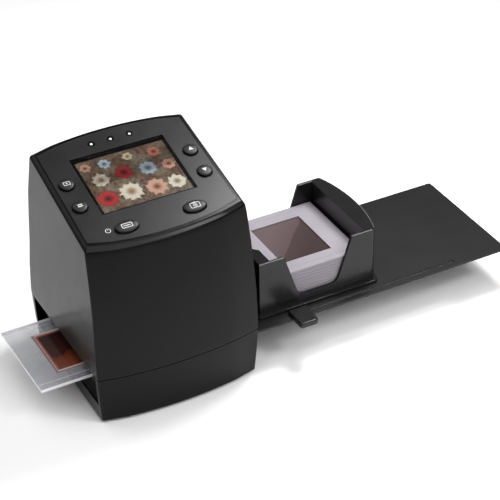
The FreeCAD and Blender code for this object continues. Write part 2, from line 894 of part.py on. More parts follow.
def make_upper_shell():
    """Upper housing: bulging walls, rounded rim, panel recess, seam groove and socket openings."""
    whole = cut(
        "upper_whole",
        housing_form("sharp_form", "0", smooth_sections()),
        block("below_seam", WIDE, DEEP, ("-overrun", "seam_level")),
        panel_block("above_panel", WIDE, TALL, ABOVE_PANEL),
    )
    rimmed = dressed("upper_rimmed", "Chamfer", whole, "rim_bevel", is_panel_rim)
    smooth = overlap("upper_smooth", rimmed, outside)
    room = cut("upper_room", inside, panel_block("top_wall_keep", WIDE, TALL, ("-top_wall", CROWN)))
    recess = overlap(
        "panel_recess",
        housing_form("recess_form", "rim_width", TOP_SECTIONS),
        panel_block("recess_depth", WIDE, TALL, ("-panel_thickness", CROWN)),
    )
    opening = overlap(
        "panel_opening",
        housing_form("opening_form", "rim_width + ledge_width", TOP_SECTIONS),
        panel_block("opening_depth", WIDE, TALL, ("-(top_wall + overrun)", "0")),
    )
    groove = cut(
        "seam_groove",
        block("groove_band", WIDE, DEEP, from_to("seam_level", "seam_groove_height")),
        skin,
    )
    shell = cut("upper_hollow", smooth, room, recess, opening, groove)
    post_span = from_to("seam_level", "upper_post_height")
    hole_span = ("seam_level - overrun", "seam_level + upper_post_height - wall")
    posts = []
    holes = socket_openings()
    for centre in places_about("post_place", "post_reach"):
        posts.append(peg("upper_post", centre, post_span, "post_radius"))
        holes.append(peg("upper_hole", centre, hole_span, "screw_radius"))
    for side in (-1, 1):
        for end in (-1, 1):
            across = about(f"{side} * post_place", "wall / 2")
            outward = mirrored(end, "post_reach", "2 * belt_front")
            posts.append(block("post_web", across, outward, post_span))
    solid = fuse("upper_solid", shell, trimmed_to_walls("upper_posts", fuse("post_set", *posts)))
    finish(cut("upper_cut", solid, *holes), "upper_shell")


def socket_openings():
    """Holes in the back wall in front of the three sockets."""
    through = ("socket_face - socket_opening_reach", "2 * belt_back")
    play = "socket_opening_play"
    usb_middle = f"{MAIN_BOARD_TOP} + usb_height / 2"
    card_middle = f"{MAIN_BOARD_TOP} + card_height / 2"
    video_middle = f"{MAIN_BOARD_TOP} + video_height / 2"
    return [
        block(
            "usb_opening",
            about("-usb_place", f"usb_width / 2 + {play}"),
            through,
            about(usb_middle, f"usb_height / 2 + {play}"),
        ),
        block(
            "card_opening",
            about("card_place", f"card_width / 2 + {play}"),
            through,
            about(card_middle, f"card_height / 2 + {play}"),
        ),
        cross_rod(
            "video_opening",
            "-video_place",
            video_middle,
            through,
            f"video_height / 2 + {play}",
        ),
    ]


# Control panel, screen and buttons

ROUND_BUTTONS = {
    "flip_button": ("-round_place", "upper_round_place"),
    "mode_button": ("-round_place", "lower_round_place"),
    "up_button": ("round_place", "upper_round_place"),
    "down_button": ("round_place", "lower_round_place"),
}
OVAL_BUTTONS = {
    "enter_button": ("-oval_place", "oval_line"),
    "capture_button": ("oval_place", "oval_line"),
}
UNDER_PANEL = "-panel_thickness"
BUTTON_SPAN = (UNDER_PANEL, "button_rise")
FLANGE_BOTTOM = total(UNDER_PANEL, "-button_flange_thickness")


def panel_screw_places():
    """Where the panel's four bosses stand: x and the way up the slope."""
    return [
        (f"{x} * boss_place_x", along)
        for x in (-1, 1)
        for along in ("front_boss_place", "back_boss_place")
    ]


def lens_places():
    """Where the three indicator lights stand."""
    return [(f"{index} * lens_place", "lens_line") for index in (-1, 0, 1)]


def make_control_panel():
    """Face plate with openings for the screen, buttons and lights, and bosses for the board."""
    plate = overlap(
        "panel_plate",
        housing_form("panel_form", "rim_width + fit_gap", TOP_SECTIONS),
        panel_block("panel_depth", WIDE, TALL, (UNDER_PANEL, "0")),
    )
    bosses = [
        panel_peg("panel_boss", x, along, ("-boss_drop", UNDER_PANEL), "boss_radius")
        for x, along in panel_screw_places()
    ]
    through = ("-(panel_thickness + overrun)", "overrun")
    holes = [
        panel_block(
            "screen_opening",
            about("0", "screen_half_width"),
            about("screen_middle", "screen_half_height"),
            through,
        )
    ]
    for x, along in ROUND_BUTTONS.values():
        holes.append(panel_rod("round_opening", x, along, through, "round_radius + button_gap"))
    for x, along in OVAL_BUTTONS.values():
        holes.append(panel_oval("oval_opening", x, along, through, "button_gap"))
    for x, along in lens_places():
        holes.append(panel_rod("lens_opening", x, along, through, "lens_radius + fit_gap"))
    for x, along in panel_screw_places():
        pilot = ("-(boss_drop + overrun)", "-panel_thickness / 2")
        holes.append(panel_peg("boss_hole", x, along, pilot, "small_screw_radius"))
    finish(cut("panel_cut", fuse("panel_solid", plate, *bosses), *holes), "control_panel")


def make_screen():
    """Screen module under the panel and the clear window that lies on it."""
    module = panel_block(
        "module",
        about("0", "screen_half_width + module_margin"),
        about("screen_middle", "screen_half_height + module_margin"),
        (MODULE_BOTTOM, UNDER_PANEL),
    )
    finish(module, "screen_module")
    window = panel_block(
        "window",
        about("0", "screen_half_width - window_play"),
        about("screen_middle", "screen_half_height - window_play"),
        (UNDER_PANEL, "-screen_recess"),
    )
    finish(window, "screen_window")


def make_button(label, x, along, cap, half_length, half_width):
    """A button: bevelled cap in the panel's hole, flange under the panel, stem over its dome."""
    bevelled = dressed(label + "_bevelled", "Chamfer", cap, "button_bevel", is_cap_edge)
    flange = panel_block(
        label + "_flange",
        about(x, f"{half_length} + button_flange"),
        about(along, f"{half_width} + button_flange"),
        (FLANGE_BOTTOM, UNDER_PANEL),
    )
    stem_span = (f"{PAD_TOP} + dome_height + button_travel + stem_rest_gap", FLANGE_BOTTOM)
    stem = panel_peg(label + "_stem", x, along, stem_span, "stem_radius")
    finish(fuse(label + "_solid", bevelled, flange, stem), label)


def make_buttons():
    """The four round buttons beside the screen and the two ovals in front of it."""
    for label, (x, along) in ROUND_BUTTONS.items():
        cap = panel_rod(label + "_cap", x, along, BUTTON_SPAN, "round_radius")
        make_button(label, x, along, cap, "round_radius", "round_radius")
    for label, (x, along) in OVAL_BUTTONS.items():
        cap = panel_oval(label + "_cap", x, along, BUTTON_SPAN, "0")
        make_button(label, x, along, cap, OVAL_HALF_LENGTH, OVAL_HALF_WIDTH)


def is_cap_edge(edge):
    """Whether an edge lies above the panel, as only the upper ones of a cap do."""
    tilt = math.radians(number("panel_tilt"))
    out = FreeCAD.Vector(0, -math.sin(tilt), math.cos(tilt))
    foot = FreeCAD.Vector(0, -number("panel_front"), number("panel_height"))
    return (middle_of(edge) - foot).dot(out) > number("button_rise / 2")


def make_indicator_lenses():
    """Three clear light pipes in the back of the panel."""
    pipes = []
    foot_half = "lens_radius + 2 * fit_gap"
    foot_span = (PAD_TOP, UNDER_PANEL)
    for x, along in lens_places():
        top = panel_rod("pipe_top", x, along, (UNDER_PANEL, "lens_rise"), "lens_radius")
        foot = panel_block("pipe_foot", about(x, foot_half), about(along, foot_half), foot_span)
        pipes.append(fuse("pipe", top, foot))
    group("indicator_lenses", pipes)


def make_button_board():
    """Rubber pad with a dome under each button, the board behind it, and its screws."""
    reach = about("0", "boss_place_x + boss_radius + running_gap")
    along = (f"-{OVAL_HALF_WIDTH} / 2", "lens_line + lens_radius")
    sheet_span = (PAD_BOTTOM, PAD_TOP)
    domes = []
    for x, up in list(ROUND_BUTTONS.values()) + list(OVAL_BUTTONS.values()):
        domes.append(panel_peg("dome", x, up, from_to(PAD_TOP, "dome_height"), "dome_radius"))
    hole_span = (f"{BUTTON_BOARD_BOTTOM} - overrun", "0")
    holes = [
        panel_peg("pad_hole", x, up, hole_span, "boss_radius + fit_gap")
        for x, up in panel_screw_places()
    ]
    pad = fuse("pad_solid", panel_block("pad_sheet", reach, along, sheet_span), *domes)
    finish(cut("pad_cut", pad, *holes), "button_pad")
    board_holes = [
        panel_peg("board_hole", x, up, hole_span, "small_screw_radius + screw_play")
        for x, up in panel_screw_places()
    ]
    board = panel_block("button_sheet", reach, along, (BUTTON_BOARD_BOTTOM, PAD_BOTTOM))
    finish(cut("button_board_cut", board, *board_holes), "button_board")
    screws = []
    for x, up in panel_screw_places():
        head = (f"{BUTTON_BOARD_BOTTOM} - small_head_height", BUTTON_BOARD_BOTTOM)
        shank = from_to(BUTTON_BOARD_BOTTOM, "panel_screw_length")
        screws.append(
            fuse(
                "panel_screw",
                panel_peg("panel_head", x, up, head, "small_head_radius"),
                panel_peg("panel_shank", x, up, shank, "small_screw_radius"),
            )
        )
    group("panel_screws", screws)


# Light source under the film

def frame_block(name, half_length, half_depth, wall, z_span):
    """Four walls in a rectangle, open at top and bottom."""
    low, high = z_span
    inner = (f"{low} - overrun", f"{high} + overrun")
    return cut(
        name,
        block(name + "_outer", about("0", half_length), about("0", half_depth), z_span),
        block(
            name + "_inner",
            about("0", f"{half_length} - {wall}"),
            about("0", f"{half_depth} - {wall}"),
            inner,
        ),
    )


def make_light_source():
    """Board of lights, white box, diffuser and the lower film gate that caps them."""
    half_length = "light_half_length"
    half_depth = "light_half_depth"
    sheet_x = about("0", half_length)
    sheet_y = about("0", half_depth)
    finish(block("light_sheet", sheet_x, sheet_y, (LIGHT_BOARD, LIGHT_BOX)), "backlight_board")
    lights = []
    for column in (-1, 0, 1):
        for row in (-1, 0, 1):
            lights.append(
                block(
                    "light",
                    about(f"{column} * light_step_x", "light_length / 2"),
                    about(f"{row} * light_step_y", "light_depth / 2"),
                    from_to(LIGHT_BOX, "light_height"),
                )
            )
    group("backlight_lamps", lights)
    box_span = (LIGHT_BOX, DIFFUSER_BOTTOM)
    box = frame_block("light_walls", half_length, half_depth, "light_box_wall", box_span)
    finish(box, "light_box")
    diffuser_span = (DIFFUSER_BOTTOM, DIFFUSER_TOP)
    finish(block("diffuser_sheet", sheet_x, sheet_y, diffuser_span), "diffuser")
    gate_length = f"{half_length} + fit_gap + gate_skirt_wall"
    gate_depth = f"{half_depth} + fit_gap + gate_skirt_wall"
    cap = block(
        "gate_cap",
        about("0", gate_length),
        about("0", gate_depth),
        (f"{DIFFUSER_BOTTOM} - gate_skirt_drop", GATE_TOP),
    )
    room = block(
        "gate_room",
        about("0", f"{half_length} + fit_gap"),
        about("0", f"{half_depth} + fit_gap"),
        (f"{DIFFUSER_BOTTOM} - gate_skirt_drop - overrun", DIFFUSER_TOP),
    )
    window = block(
        "gate_window",
        about("0", "gate_half_length"),
        about("0", "gate_half_depth"),
        (DIFFUSER_BOTTOM, f"{GATE_TOP} + overrun"),
    )
    finish(cut("gate_cut", cap, room, window), "lower_film_gate")


# Camera over the film

def make_camera():
    """Upper film guide, dark shaft with its deck, lens, filter, sensor and sensor board."""
    finish(upper_film_guide(), "upper_film_guide")
    finish(camera_bracket(), "camera_bracket")
    axis = ("0", "0")
    flange_span = from_to(DECK_TOP, "barrel_flange")
    bore_span = (f"{BARREL_BOTTOM} + barrel_stop", f"{BARREL_TOP} + overrun")
    mouth_span = (f"{BARREL_BOTTOM} - overrun", BARREL_TOP)
    barrel = cut(
        "barrel_cut",
        fuse(
            "barrel_solid",
            rod("barrel", axis, (BARREL_BOTTOM, BARREL_TOP), "barrel_radius"),
            rod("barrel_flange", axis, flange_span, "barrel_flange_radius"),
        ),
        rod("barrel_bore", axis, bore_span, "barrel_bore"),
        rod("barrel_mouth", axis, mouth_span, "barrel_bore - barrel_stop"),
    )
    finish(barrel, "lens_barrel")
    group("lens_elements", [lens_element(index) for index in range(3)])
    square = about("0", "sensor_side / 2")
    filter_span = (f"{SENSOR_BOTTOM} - filter_thickness", SENSOR_BOTTOM)
    finish(block("filter", square, square, filter_span), "infrared_filter")
    finish(block("sensor", square, square, (SENSOR_BOTTOM, SENSOR_BOARD)), "image_sensor")
    hole_span = (f"{SENSOR_BOARD} - overrun", f"{SENSOR_BOARD_TOP} + overrun")
    holes = [
        peg("sensor_hole", place, hole_span, "small_screw_radius + screw_play")
        for place in places_about("sensor_post_place_x", "sensor_post_place_y")
    ]
    board = block(
        "sensor_sheet",
        about("0", "sensor_board_half_length"),
        about("0", "sensor_board_half_depth"),
        (SENSOR_BOARD, SENSOR_BOARD_TOP),
    )
    finish(cut("sensor_board_cut", board, *holes), "sensor_board")


def upper_film_guide():
    """Plate over the film with its window, borne by the four pillars."""
    span = ("guide_level", BRACKET)
    depth = "post_reach - post_radius - running_gap"
    parts = [block("guide_sheet", about("0", "guide_half_length"), about("0", depth), span)]
    for side in (-1, 1):
        ear = about(f"{side} * pillar_place", "pillar_length / 2")
        parts.append(block("guide_ear", ear, about("0", GUIDE_OUTER), span))
    window = block(
        "guide_window",
        about("0", "gate_half_length"),
        about("0", "gate_half_depth"),
        ("guide_level - overrun", f"{BRACKET} + overrun"),
    )
    return cut("guide_cut", fuse("guide_solid", *parts), window)


def shaft_form(name, inset, span):
    """A tapering rectangular shaft, drawn in by an inset."""
    solid = doc.addObject("Part::Wedge", name)
    halves = {
        "X": "shaft_half_length",
        "Z": "shaft_half_depth",
        "X2": "shaft_top_half",
        "Z2": "shaft_top_half",
    }
    for axis, half in halves.items():
        solid.setExpression(axis + "min", sized(f"{inset} - {half}"))
        solid.setExpression(axis + "max", sized(f"{half} - {inset}"))
    low, high = span
    solid.setExpression("Ymin", sized(low))
    solid.setExpression("Ymax", sized(high))
    solid.Placement = UPENDED
    return solid


def camera_bracket():
    """Flange on the film guide, tapering shaft, and the deck that holds lens and boards."""
    span = (BRACKET, SHAFT_TOP)
    parts = [
        block(
            "bracket_flange",
            about("0", "bracket_flange_half_length"),
            about("0", "bracket_flange_half_depth"),
            from_to(BRACKET, "bracket_flange"),
        ),
        shaft_form("shaft_outer", "0", span),
        block(
            "deck",
            about("0", "deck_half_length"),
            about("0", "deck_half_depth"),
            (SHAFT_TOP, DECK_TOP),
        ),
    ]
    seat_span = (f"{SHAFT_TOP} - overrun", f"{DECK_TOP} + overrun")
    holes = [
        shaft_form("shaft_inner", "shaft_wall", (f"{BRACKET} - overrun", SHAFT_TOP)),
        rod("barrel_seat", ("0", "0"), seat_span, "barrel_radius + fit_gap"),
    ]
    for post, top in (("sensor_post", SENSOR_BOARD), ("main_post", MAIN_BOARD)):
        pilot_span = (f"{top} - small_screw_length", f"{top} + overrun")
        for place in places_about(post + "_place_x", post + "_place_y"):
            parts.append(peg(post, place, (DECK_TOP, top), post + "_radius"))
            holes.append(peg(post + "_pilot", place, pilot_span, "small_screw_radius"))
    return cut("bracket_cut", fuse("bracket_solid", *parts), *holes)


def lens_element(index):
    """One glass element, a plain disc."""
    bottom = f"{BARREL_BOTTOM} + barrel_stop + {index} * element_spacing"
    return rod("element", ("0", "0"), from_to(bottom, "element_thickness"), "element_radius")


# Main board and sockets

def make_main_board():
    """Main board on the bracket's tall posts, the sockets on its rear edge and all board screws."""
    hole_span = (f"{MAIN_BOARD} - overrun", f"{MAIN_BOARD_TOP} + overrun")
    holes = [
        peg("main_hole", place, hole_span, "small_screw_radius + screw_play")
        for place in places_about("main_post_place_x", "main_post_place_y")
    ]
    board = block(
        "main_sheet",
        about("0", "main_board_half_length"),
        ("-main_board_front", "main_board_back"),
        (MAIN_BOARD, MAIN_BOARD_TOP),
    )
    finish(cut("main_board_cut", board, *holes), "main_board")
    finish(usb_socket(), "usb_socket")
    finish(video_socket(), "video_socket")
    finish(card_socket(), "card_socket")
    screws = []
    for place in places_about("main_post_place_x", "main_post_place_y"):
        screws.append(small_screw(place, MAIN_BOARD_TOP))
    for place in places_about("sensor_post_place_x", "sensor_post_place_y"):
        screws.append(small_screw(place, SENSOR_BOARD_TOP))
    group("board_screws", screws)


def small_screw(place, level):
    """A small pan-head screw whose head sits at a level."""
    return fuse(
        "small_screw",
        peg("small_head", place, from_to(level, "small_head_height"), "small_head_radius"),
        peg("small_shank", place, (f"{level} - small_screw_length", level), "small_screw_radius"),
    )


def usb_socket():
    """A metal shell with a tongue inside."""
    middle = f"{MAIN_BOARD_TOP} + usb_height / 2"
    shell = block(
        "usb_shell",
        about("-usb_place", "usb_width / 2"),
        ("socket_face - usb_depth", "socket_face"),
        from_to(MAIN_BOARD_TOP, "usb_height"),
    )
    hollow = block(
        "usb_hollow",
        about("-usb_place", "usb_width / 2 - socket_wall"),
        ("socket_face - usb_hollow_depth", "socket_face + overrun"),
        about(middle, "usb_height / 2 - socket_wall"),
    )
    tongue = block(
        "usb_tongue",
        about("-usb_place", "usb_width / 4"),
        ("socket_face - usb_hollow_depth", "socket_face - usb_tongue"),
        about(middle, "usb_tongue / 2"),
    )
    return fuse("usb_solid", cut("usb_cut", shell, hollow), tongue)


def video_socket():
    """A block with a round nose and the bore for a 3.5 mm plug."""
    middle = f"{MAIN_BOARD_TOP} + video_height / 2"
    back = "socket_face - video_depth"
    body = block(
        "video_block",
        about("-video_place", "video_width / 2"),
        (back, "socket_face - usb_tongue * 2"),
        from_to(MAIN_BOARD_TOP, "video_height"),
    )
    nose = cross_rod(
        "video_nose",
        "-video_place",
        middle,
        (back, "socket_face"),
        "video_height / 2 - socket_wall",
    )
    bore = cross_rod(
        "video_bore",
        "-video_place",
        middle,
        ("socket_face - video_bore_depth", "socket_face + overrun"),
        "video_bore",
    )
    return cut("video_cut", fuse("video_solid", body, nose), bore)


def card_socket():
    """A flat cage with the slot for a memory card."""
    middle = f"{MAIN_BOARD_TOP} + card_height / 2"
    cage = block(
        "card_cage",
        about("card_place", "card_width / 2"),
        ("socket_face - card_depth", "socket_face"),
        from_to(MAIN_BOARD_TOP, "card_height"),
    )
    slot = block(
        "card_slot",
        about("card_place", "card_slot_width / 2"),
        ("socket_face - card_slot_depth", "socket_face + overrun"),
        about(middle, "card_slot_height / 2"),
    )
    return cut("card_cut", cage, slot)


def make_ribbons():
    """Flat ribbons from the main board up to the button board and down to the sensor board."""
    slope = "tan(panel_tilt)"
    place = "-screen_ribbon_place"
    top = (
        f"panel_height + (panel_front + ({place}) - ribbon_foot) * {slope}"
        f" + ({BUTTON_BOARD_BOTTOM}) / cos(panel_tilt)"
    )
    screen = new_body("screen_strip")
    low = MAIN_BOARD_TOP
    foot_top = f"{low} + ribbon_thickness"
    corners = [
        (f"{place} - ribbon_foot", low),
        (place, low),
        (f"{place} + ribbon_thickness", foot_top),
        (f"{place} - ribbon_foot + ribbon_thickness", top),
        (f"{place} - ribbon_foot", top),
        (f"{place} - ribbon_thickness", foot_top),
        (f"{place} - ribbon_foot", foot_top),
    ]
    width = ("0", "2 * ribbon_half_width")
    strip = prism(screen, "Pad", width, lambda sketch: outline(sketch, corners), "YZ_Plane")
    strip.Midplane = True
    finish(screen, "screen_ribbon")
    sensor = block(
        "sensor_strip",
        about("0", "ribbon_half_width"),
        from_to("sensor_ribbon_place", "ribbon_thickness"),
        (SENSOR_BOARD_TOP, MAIN_BOARD),
    )
    finish(sensor, "sensor_ribbon")


def make_detent_spring():
    """A bowed leaf beside the tray's back edge; its feet stand behind the guide."""
    body = new_body("spring_leaf")
    front = GUIDE_OUTER
    back = f"{GUIDE_OUTER} + spring_thickness"
    bow = f"({GUIDE_OUTER}) - (tray_half_depth + spring_touch)"
    reach = "spring_half_length + spring_foot"
    corners = [
        (negative(reach), front),
        ("-spring_half_length", front),
        ("spring_half_length", front),
        (reach, front),
        (reach, back),
        ("spring_half_length", back),
        ("-spring_half_length", back),
        (negative(reach), back),
    ]
    bows = {1: bow, 5: negative(bow)}
    span = from_to(SPRING_BOTTOM, "spring_height")
    prism(body, "Pad", span, lambda sketch: outline(sketch, corners, bows))
    finish(body, "detent_spring")


def make_fasteners():
    """Rubber feet and the four long screws that hold the shells together."""
    feet = []
    for x, y in places_about("foot_place_x", "foot_place_y"):
        feet.append(rod("foot", (x, y), ("0", "foot_height"), "foot_radius"))
    group("rubber_feet", feet)
    screws = []
    seat = "foot_level + screw_head_depth"
    for centre in places_about("post_place", "post_reach"):
        head = peg("long_head", centre, (f"{seat} - screw_head_height", seat), "screw_head_radius")
        shank = peg("long_shank", centre, from_to(seat, "screw_length"), "screw_radius")
        screws.append(fuse("long_screw", head, shank))
    group("base_screws", screws)


# Tray, channel and pusher

DROP_X = about("stack_place", "slide_side / 2 + magazine_room")
DROP_Y = about("0", "slide_side / 2 + magazine_room")


def make_tray_plate():
    """Flat tray top with the gate window, the drop window for slides and the thumb slot."""
    body = new_body("tray_body")
    span = (PLATE_UNDERSIDE, "tray_top")
    depth = about("0", "tray_half_depth")
    prism(body, "Pad", span, lambda sketch: rectangle(sketch, ("-tray_tail", TRAY_RIGHT), depth))
    through = (f"{PLATE_UNDERSIDE} - overrun", "tray_top + overrun")
    cuts = [
        (about("0", "gate_half_length"), about("0", "gate_half_depth")),
        (DROP_X, DROP_Y),
        (
            (f"{STEM_LEFT} - thumb_slot_play", f"{STEM_RIGHT} + pusher_travel + thumb_slot_play"),
            about("-thumb_slot_middle", "thumb_slot_width / 2"),
        ),
    ]
    for x, y in hook_places():
        cuts.append(
            (about(x, "hook_length / 2 + fit_gap"), about(y, "hook_thickness / 2 + fit_gap"))
        )
    for x_span, y_span in cuts:
        prism(body, "Pocket", through, lambda sketch: rectangle(sketch, x_span, y_span))
    corner = number(f"{TRAY_RIGHT} - overrun")
    dress_edges(
        body,
        "Fillet",
        "tray_rounding",
        lambda edge: abs(direction(edge).z) > NEARLY_UPRIGHT_SHARE and middle_of(edge).x > corner,
    )
    finish(body, "tray_plate")


def hook_places():
    """Where the magazine's four snap hooks pass through the tray plate."""
    out = "(channel_half_depth + hook_offset + hook_thickness / 2)"
    return [
        (f"notch_middle + {x} * hook_place", f"{y} * {out}")
        for x in (-1, 1)
        for y in (-1, 1)
    ]


def make_tray_channel():
    """Shallow trough under the plate in which slides and the pusher run."""
    body = new_body("channel_body")
    right = f"{TRAY_RIGHT} - channel_end_inset"
    depth = about("0", "channel_half_depth")
    whole = (CHANNEL_UNDERSIDE, PLATE_UNDERSIDE)
    prism(body, "Pad", whole, lambda sketch: rectangle(sketch, ("-tray_tail", right), depth))
    room_depth = about("0", "channel_half_depth - channel_rail")
    room = (CHANNEL_FLOOR, f"{PLATE_UNDERSIDE} + overrun")
    room_length = ("-(tray_tail + overrun)", f"{right} - channel_rail")
    prism(body, "Pocket", room, lambda sketch: rectangle(sketch, room_length, room_depth))
    window = (f"{CHANNEL_UNDERSIDE} - overrun", f"{PLATE_UNDERSIDE} + overrun")
    gate = (about("0", "gate_half_length"), about("0", "gate_half_depth"))
    prism(body, "Pocket", window, lambda sketch: rectangle(sketch, *gate))
    arm_way = ("tab_left - running_gap", "tab_right + pusher_travel + running_gap")
    arm_cut = ("-(channel_half_depth + overrun)", "-(channel_half_depth - channel_rail - overrun)")
    prism(body, "Pocket", room, lambda sketch: rectangle(sketch, arm_way, arm_cut))
    finish(body, "tray_channel")


def make_pusher():
    """Blade under the stack with its arm, and the thumb tab whose stem drops through the slot."""
    body = new_body("blade_body")
    half = "slide_side / 2 - blade_play"
    blade = (from_to("blade_start", "blade_length"), about("0", half))
    blade_span = from_to(CHANNEL_FLOOR, "blade_thickness")
    prism(body, "Pad", blade_span, lambda sketch: rectangle(sketch, *blade))
    arm = (("tab_left", "tab_right"), ("-arm_reach", "0"))
    arm_span = from_to(CHANNEL_FLOOR, "arm_thickness")
    prism(body, "Pad", arm_span, lambda sketch: rectangle(sketch, *arm))
    stem_x = (STEM_LEFT, STEM_RIGHT)
    stem_half = "thumb_slot_width / 2 - fit_gap"
    seat_x = (f"{STEM_LEFT} - screw_play", f"{STEM_RIGHT} + screw_play")
    seat_y = about("-thumb_slot_middle", f"{stem_half} + screw_play")
    through = (f"{CHANNEL_FLOOR} - overrun", f"{STACK_BOTTOM} + overrun")
    prism(body, "Pocket", through, lambda sketch: rectangle(sketch, seat_x, seat_y))
    finish(body, "pusher_blade")
    tab = new_body("tab_body")
    tab_x = ("tab_left", "tab_right")
    outer = negative(TAB_OUTER)
    tab_span = ("tray_top + tab_play", "tab_top")
    tab_y = (outer, "-tab_inner")
    prism(tab, "Pad", tab_span, lambda sketch: rectangle(sketch, tab_x, tab_y))
    lip_span = ("tab_lip", "tab_top")
    lip_y = (outer, negative(TAB_LIP))
    prism(tab, "Pad", lip_span, lambda sketch: rectangle(sketch, tab_x, lip_y))
    stem_y = about("-thumb_slot_middle", stem_half)
    prism(tab, "Pad", (CHANNEL_FLOOR, "tab_top"), lambda sketch: rectangle(sketch, stem_x, stem_y))
    corner = number(f"{outer} + overrun")
    dress_edges(
        tab,
        "Fillet",
        "tab_rounding",
        lambda edge: abs(direction(edge).z) > NEARLY_UPRIGHT_SHARE and middle_of(edge).y < corner,
    )
    top = number("tab_top")
    dress_edges(tab, "Chamfer", "tab_edge", lambda edge: abs(middle_of(edge).z - top) < SAME_PLACE)
    finish(tab, "pusher_tab")


# Magazine and the slides in it

def grip_corners(left, inset):
    """The outline of the magazine's right end: straight inside, bowed outside."""
    half = f"magazine_half_depth - ({inset})"
    right = f"magazine_right - ({inset})"
    return [
        (left, negative(half)),
        (right, negative(half)),
        (right, half),
        (left, half),
    ]


def make_magazine():
    """Open box for the stack, with a bowed grip end, a notch in front and back, and snap hooks."""
    body = new_body("magazine_body")
    flange = "magazine_flange"
    flange_side = "magazine_flange_side"
    flange_corners = [
        (f"magazine_left - {flange_side}", f"-(magazine_half_depth + {flange})"),
        (f"magazine_right + {flange_side}", f"-(magazine_half_depth + {flange})"),
        (f"magazine_right + {flange_side}", f"magazine_half_depth + {flange}"),
        (f"magazine_left - {flange_side}", f"magazine_half_depth + {flange}"),
    ]
    flange_span = from_to("tray_top", "magazine_flange_height")
    prism(body, "Pad", flange_span, lambda sketch: outline(sketch, flange_corners, {1: "grip_bow"}))
    walls = ("tray_top", "magazine_top")
    wall_corners = grip_corners("magazine_left", "0")
    prism(body, "Pad", walls, lambda sketch: outline(sketch, wall_corners, {1: "grip_bow"}))
    corner_x = number("magazine_right - overrun")
    dress_edges(
        body,
        "Fillet",
        "grip_rounding",
        lambda edge: abs(direction(edge).z) > NEARLY_UPRIGHT_SHARE and middle_of(edge).x > corner_x,
    )
    inner_depth = "magazine_half_depth - magazine_wall"
    inner_left = "stack_place - slide_side / 2 - magazine_room"
    room_corners = [
        (inner_left, negative(inner_depth)),
        ("magazine_end_place", negative(inner_depth)),
        ("magazine_end_place", inner_depth),
        (inner_left, inner_depth),
        (inner_left, "recess_outer"),
        ("recess_face", "recess_inner"),
        ("recess_face", "-recess_inner"),
        (inner_left, "-recess_outer"),
    ]
    through = ("tray_top - overrun", "magazine_top + overrun")
    prism(body, "Pocket", through, lambda sketch: outline(sketch, room_corners))
    hollow = grip_corners("magazine_end_place + magazine_wall", "magazine_wall")
    under = ("tray_top - overrun", "magazine_top - grip_roof")
    prism(body, "Pocket", under, lambda sketch: outline(sketch, hollow, {1: "grip_bow"}))
    rise = "magazine_top - notch_bottom"
    spread = f"(notch_top_half - notch_bottom_half) / ({rise}) * overrun"
    notch_corners = [
        ("notch_middle - notch_bottom_half", "notch_bottom"),
        ("notch_middle + notch_bottom_half", "notch_bottom"),
        (f"notch_middle + notch_top_half + {spread}", "magazine_top + overrun"),
        (f"notch_middle - notch_top_half - {spread}", "magazine_top + overrun"),
    ]
    notch = prism(
        body,
        "Pocket",
        ("0", "2 * (magazine_half_depth + overrun)"),
        lambda sketch: outline(sketch, notch_corners),
        "XZ_Plane",
    )
    notch.Midplane = True
    level = number("notch_bottom")
    dress_edges(
        body,
        "Fillet",
        "notch_rounding",
        lambda edge: abs(direction(edge).y) > NEARLY_UPRIGHT_SHARE
        and abs(middle_of(edge).z - level) < SAME_PLACE,
    )
    top = number("magazine_top")
    dress_edges(body, "Chamfer", "rim_edge", lambda edge: abs(middle_of(edge).z - top) < SAME_PLACE)
    for x, y in hook_places():
        hook = (about(x, "hook_length / 2"), about(y, "hook_thickness / 2"))
        down = (f"{PLATE_UNDERSIDE} - hook_barb_height", "tray_top")
        prism(body, "Pad", down, lambda sketch: rectangle(sketch, *hook))
        outwards = 1 if number(y) > 0 else -1
        edge_y = f"{y} + {outwards} * hook_thickness / 2"
        barb_y = [edge_y, f"{edge_y} + {outwards} * hook_barb"]
        if outwards < 0:
            barb_y.reverse()
        barb = (hook[0], barb_y)
        barb_span = (f"{PLATE_UNDERSIDE} - hook_barb_height", PLATE_UNDERSIDE)
        prism(body, "Pad", barb_span, lambda sketch: rectangle(sketch, *barb))
    finish(body, "magazine")


SLIDE_COUNT = 12


def make_stack():
    """Twelve grooved mounts, each with a chip of film in its pocket."""
    mounts = []
    films = []
    for index in range(SLIDE_COUNT):
        bottom = f"{STACK_BOTTOM} + {index} * stack_pitch"
        middle = f"{bottom} + slide_thickness / 2"
        top = f"{bottom} + slide_thickness"
        cuts = [
            block(
                "mount_window",
                about("stack_place", "slide_window_x / 2"),
                about("0", "slide_window_y / 2"),
                (f"{bottom} - overrun", f"{top} + overrun"),
            ),
            block(
                "mount_pocket",
                about("stack_place", "slide_window_x / 2 + film_margin"),
                about("0", "slide_window_y / 2 + film_margin"),
                about(middle, "film_pocket_height / 2"),
            ),
        ]
        for end in (-1, 1):
            cuts.append(
                block(
                    "mount_groove",
                    about("stack_place", "slide_side / 2 + overrun"),
                    about(f"{end} * mount_groove_place", "mount_groove_width / 2"),
                    (f"{top} - mount_groove_depth", f"{top} + overrun"),
                )
            )
        plate = block(
            "mount_plate",
            about("stack_place", "slide_side / 2"),
            about("0", "slide_side / 2"),
            (bottom, top),
        )
        mounts.append(cut("mount", plate, *cuts))
        films.append(
            block(
                "film",
                about("stack_place", "slide_window_x / 2 + film_margin - fit_gap"),
                about("0", "slide_window_y / 2 + film_margin - fit_gap"),
                from_to(f"{middle} - film_pocket_height / 2", "film_thickness"),
            )
        )
    group("slide_mounts", mounts)
    group("slide_films", films)


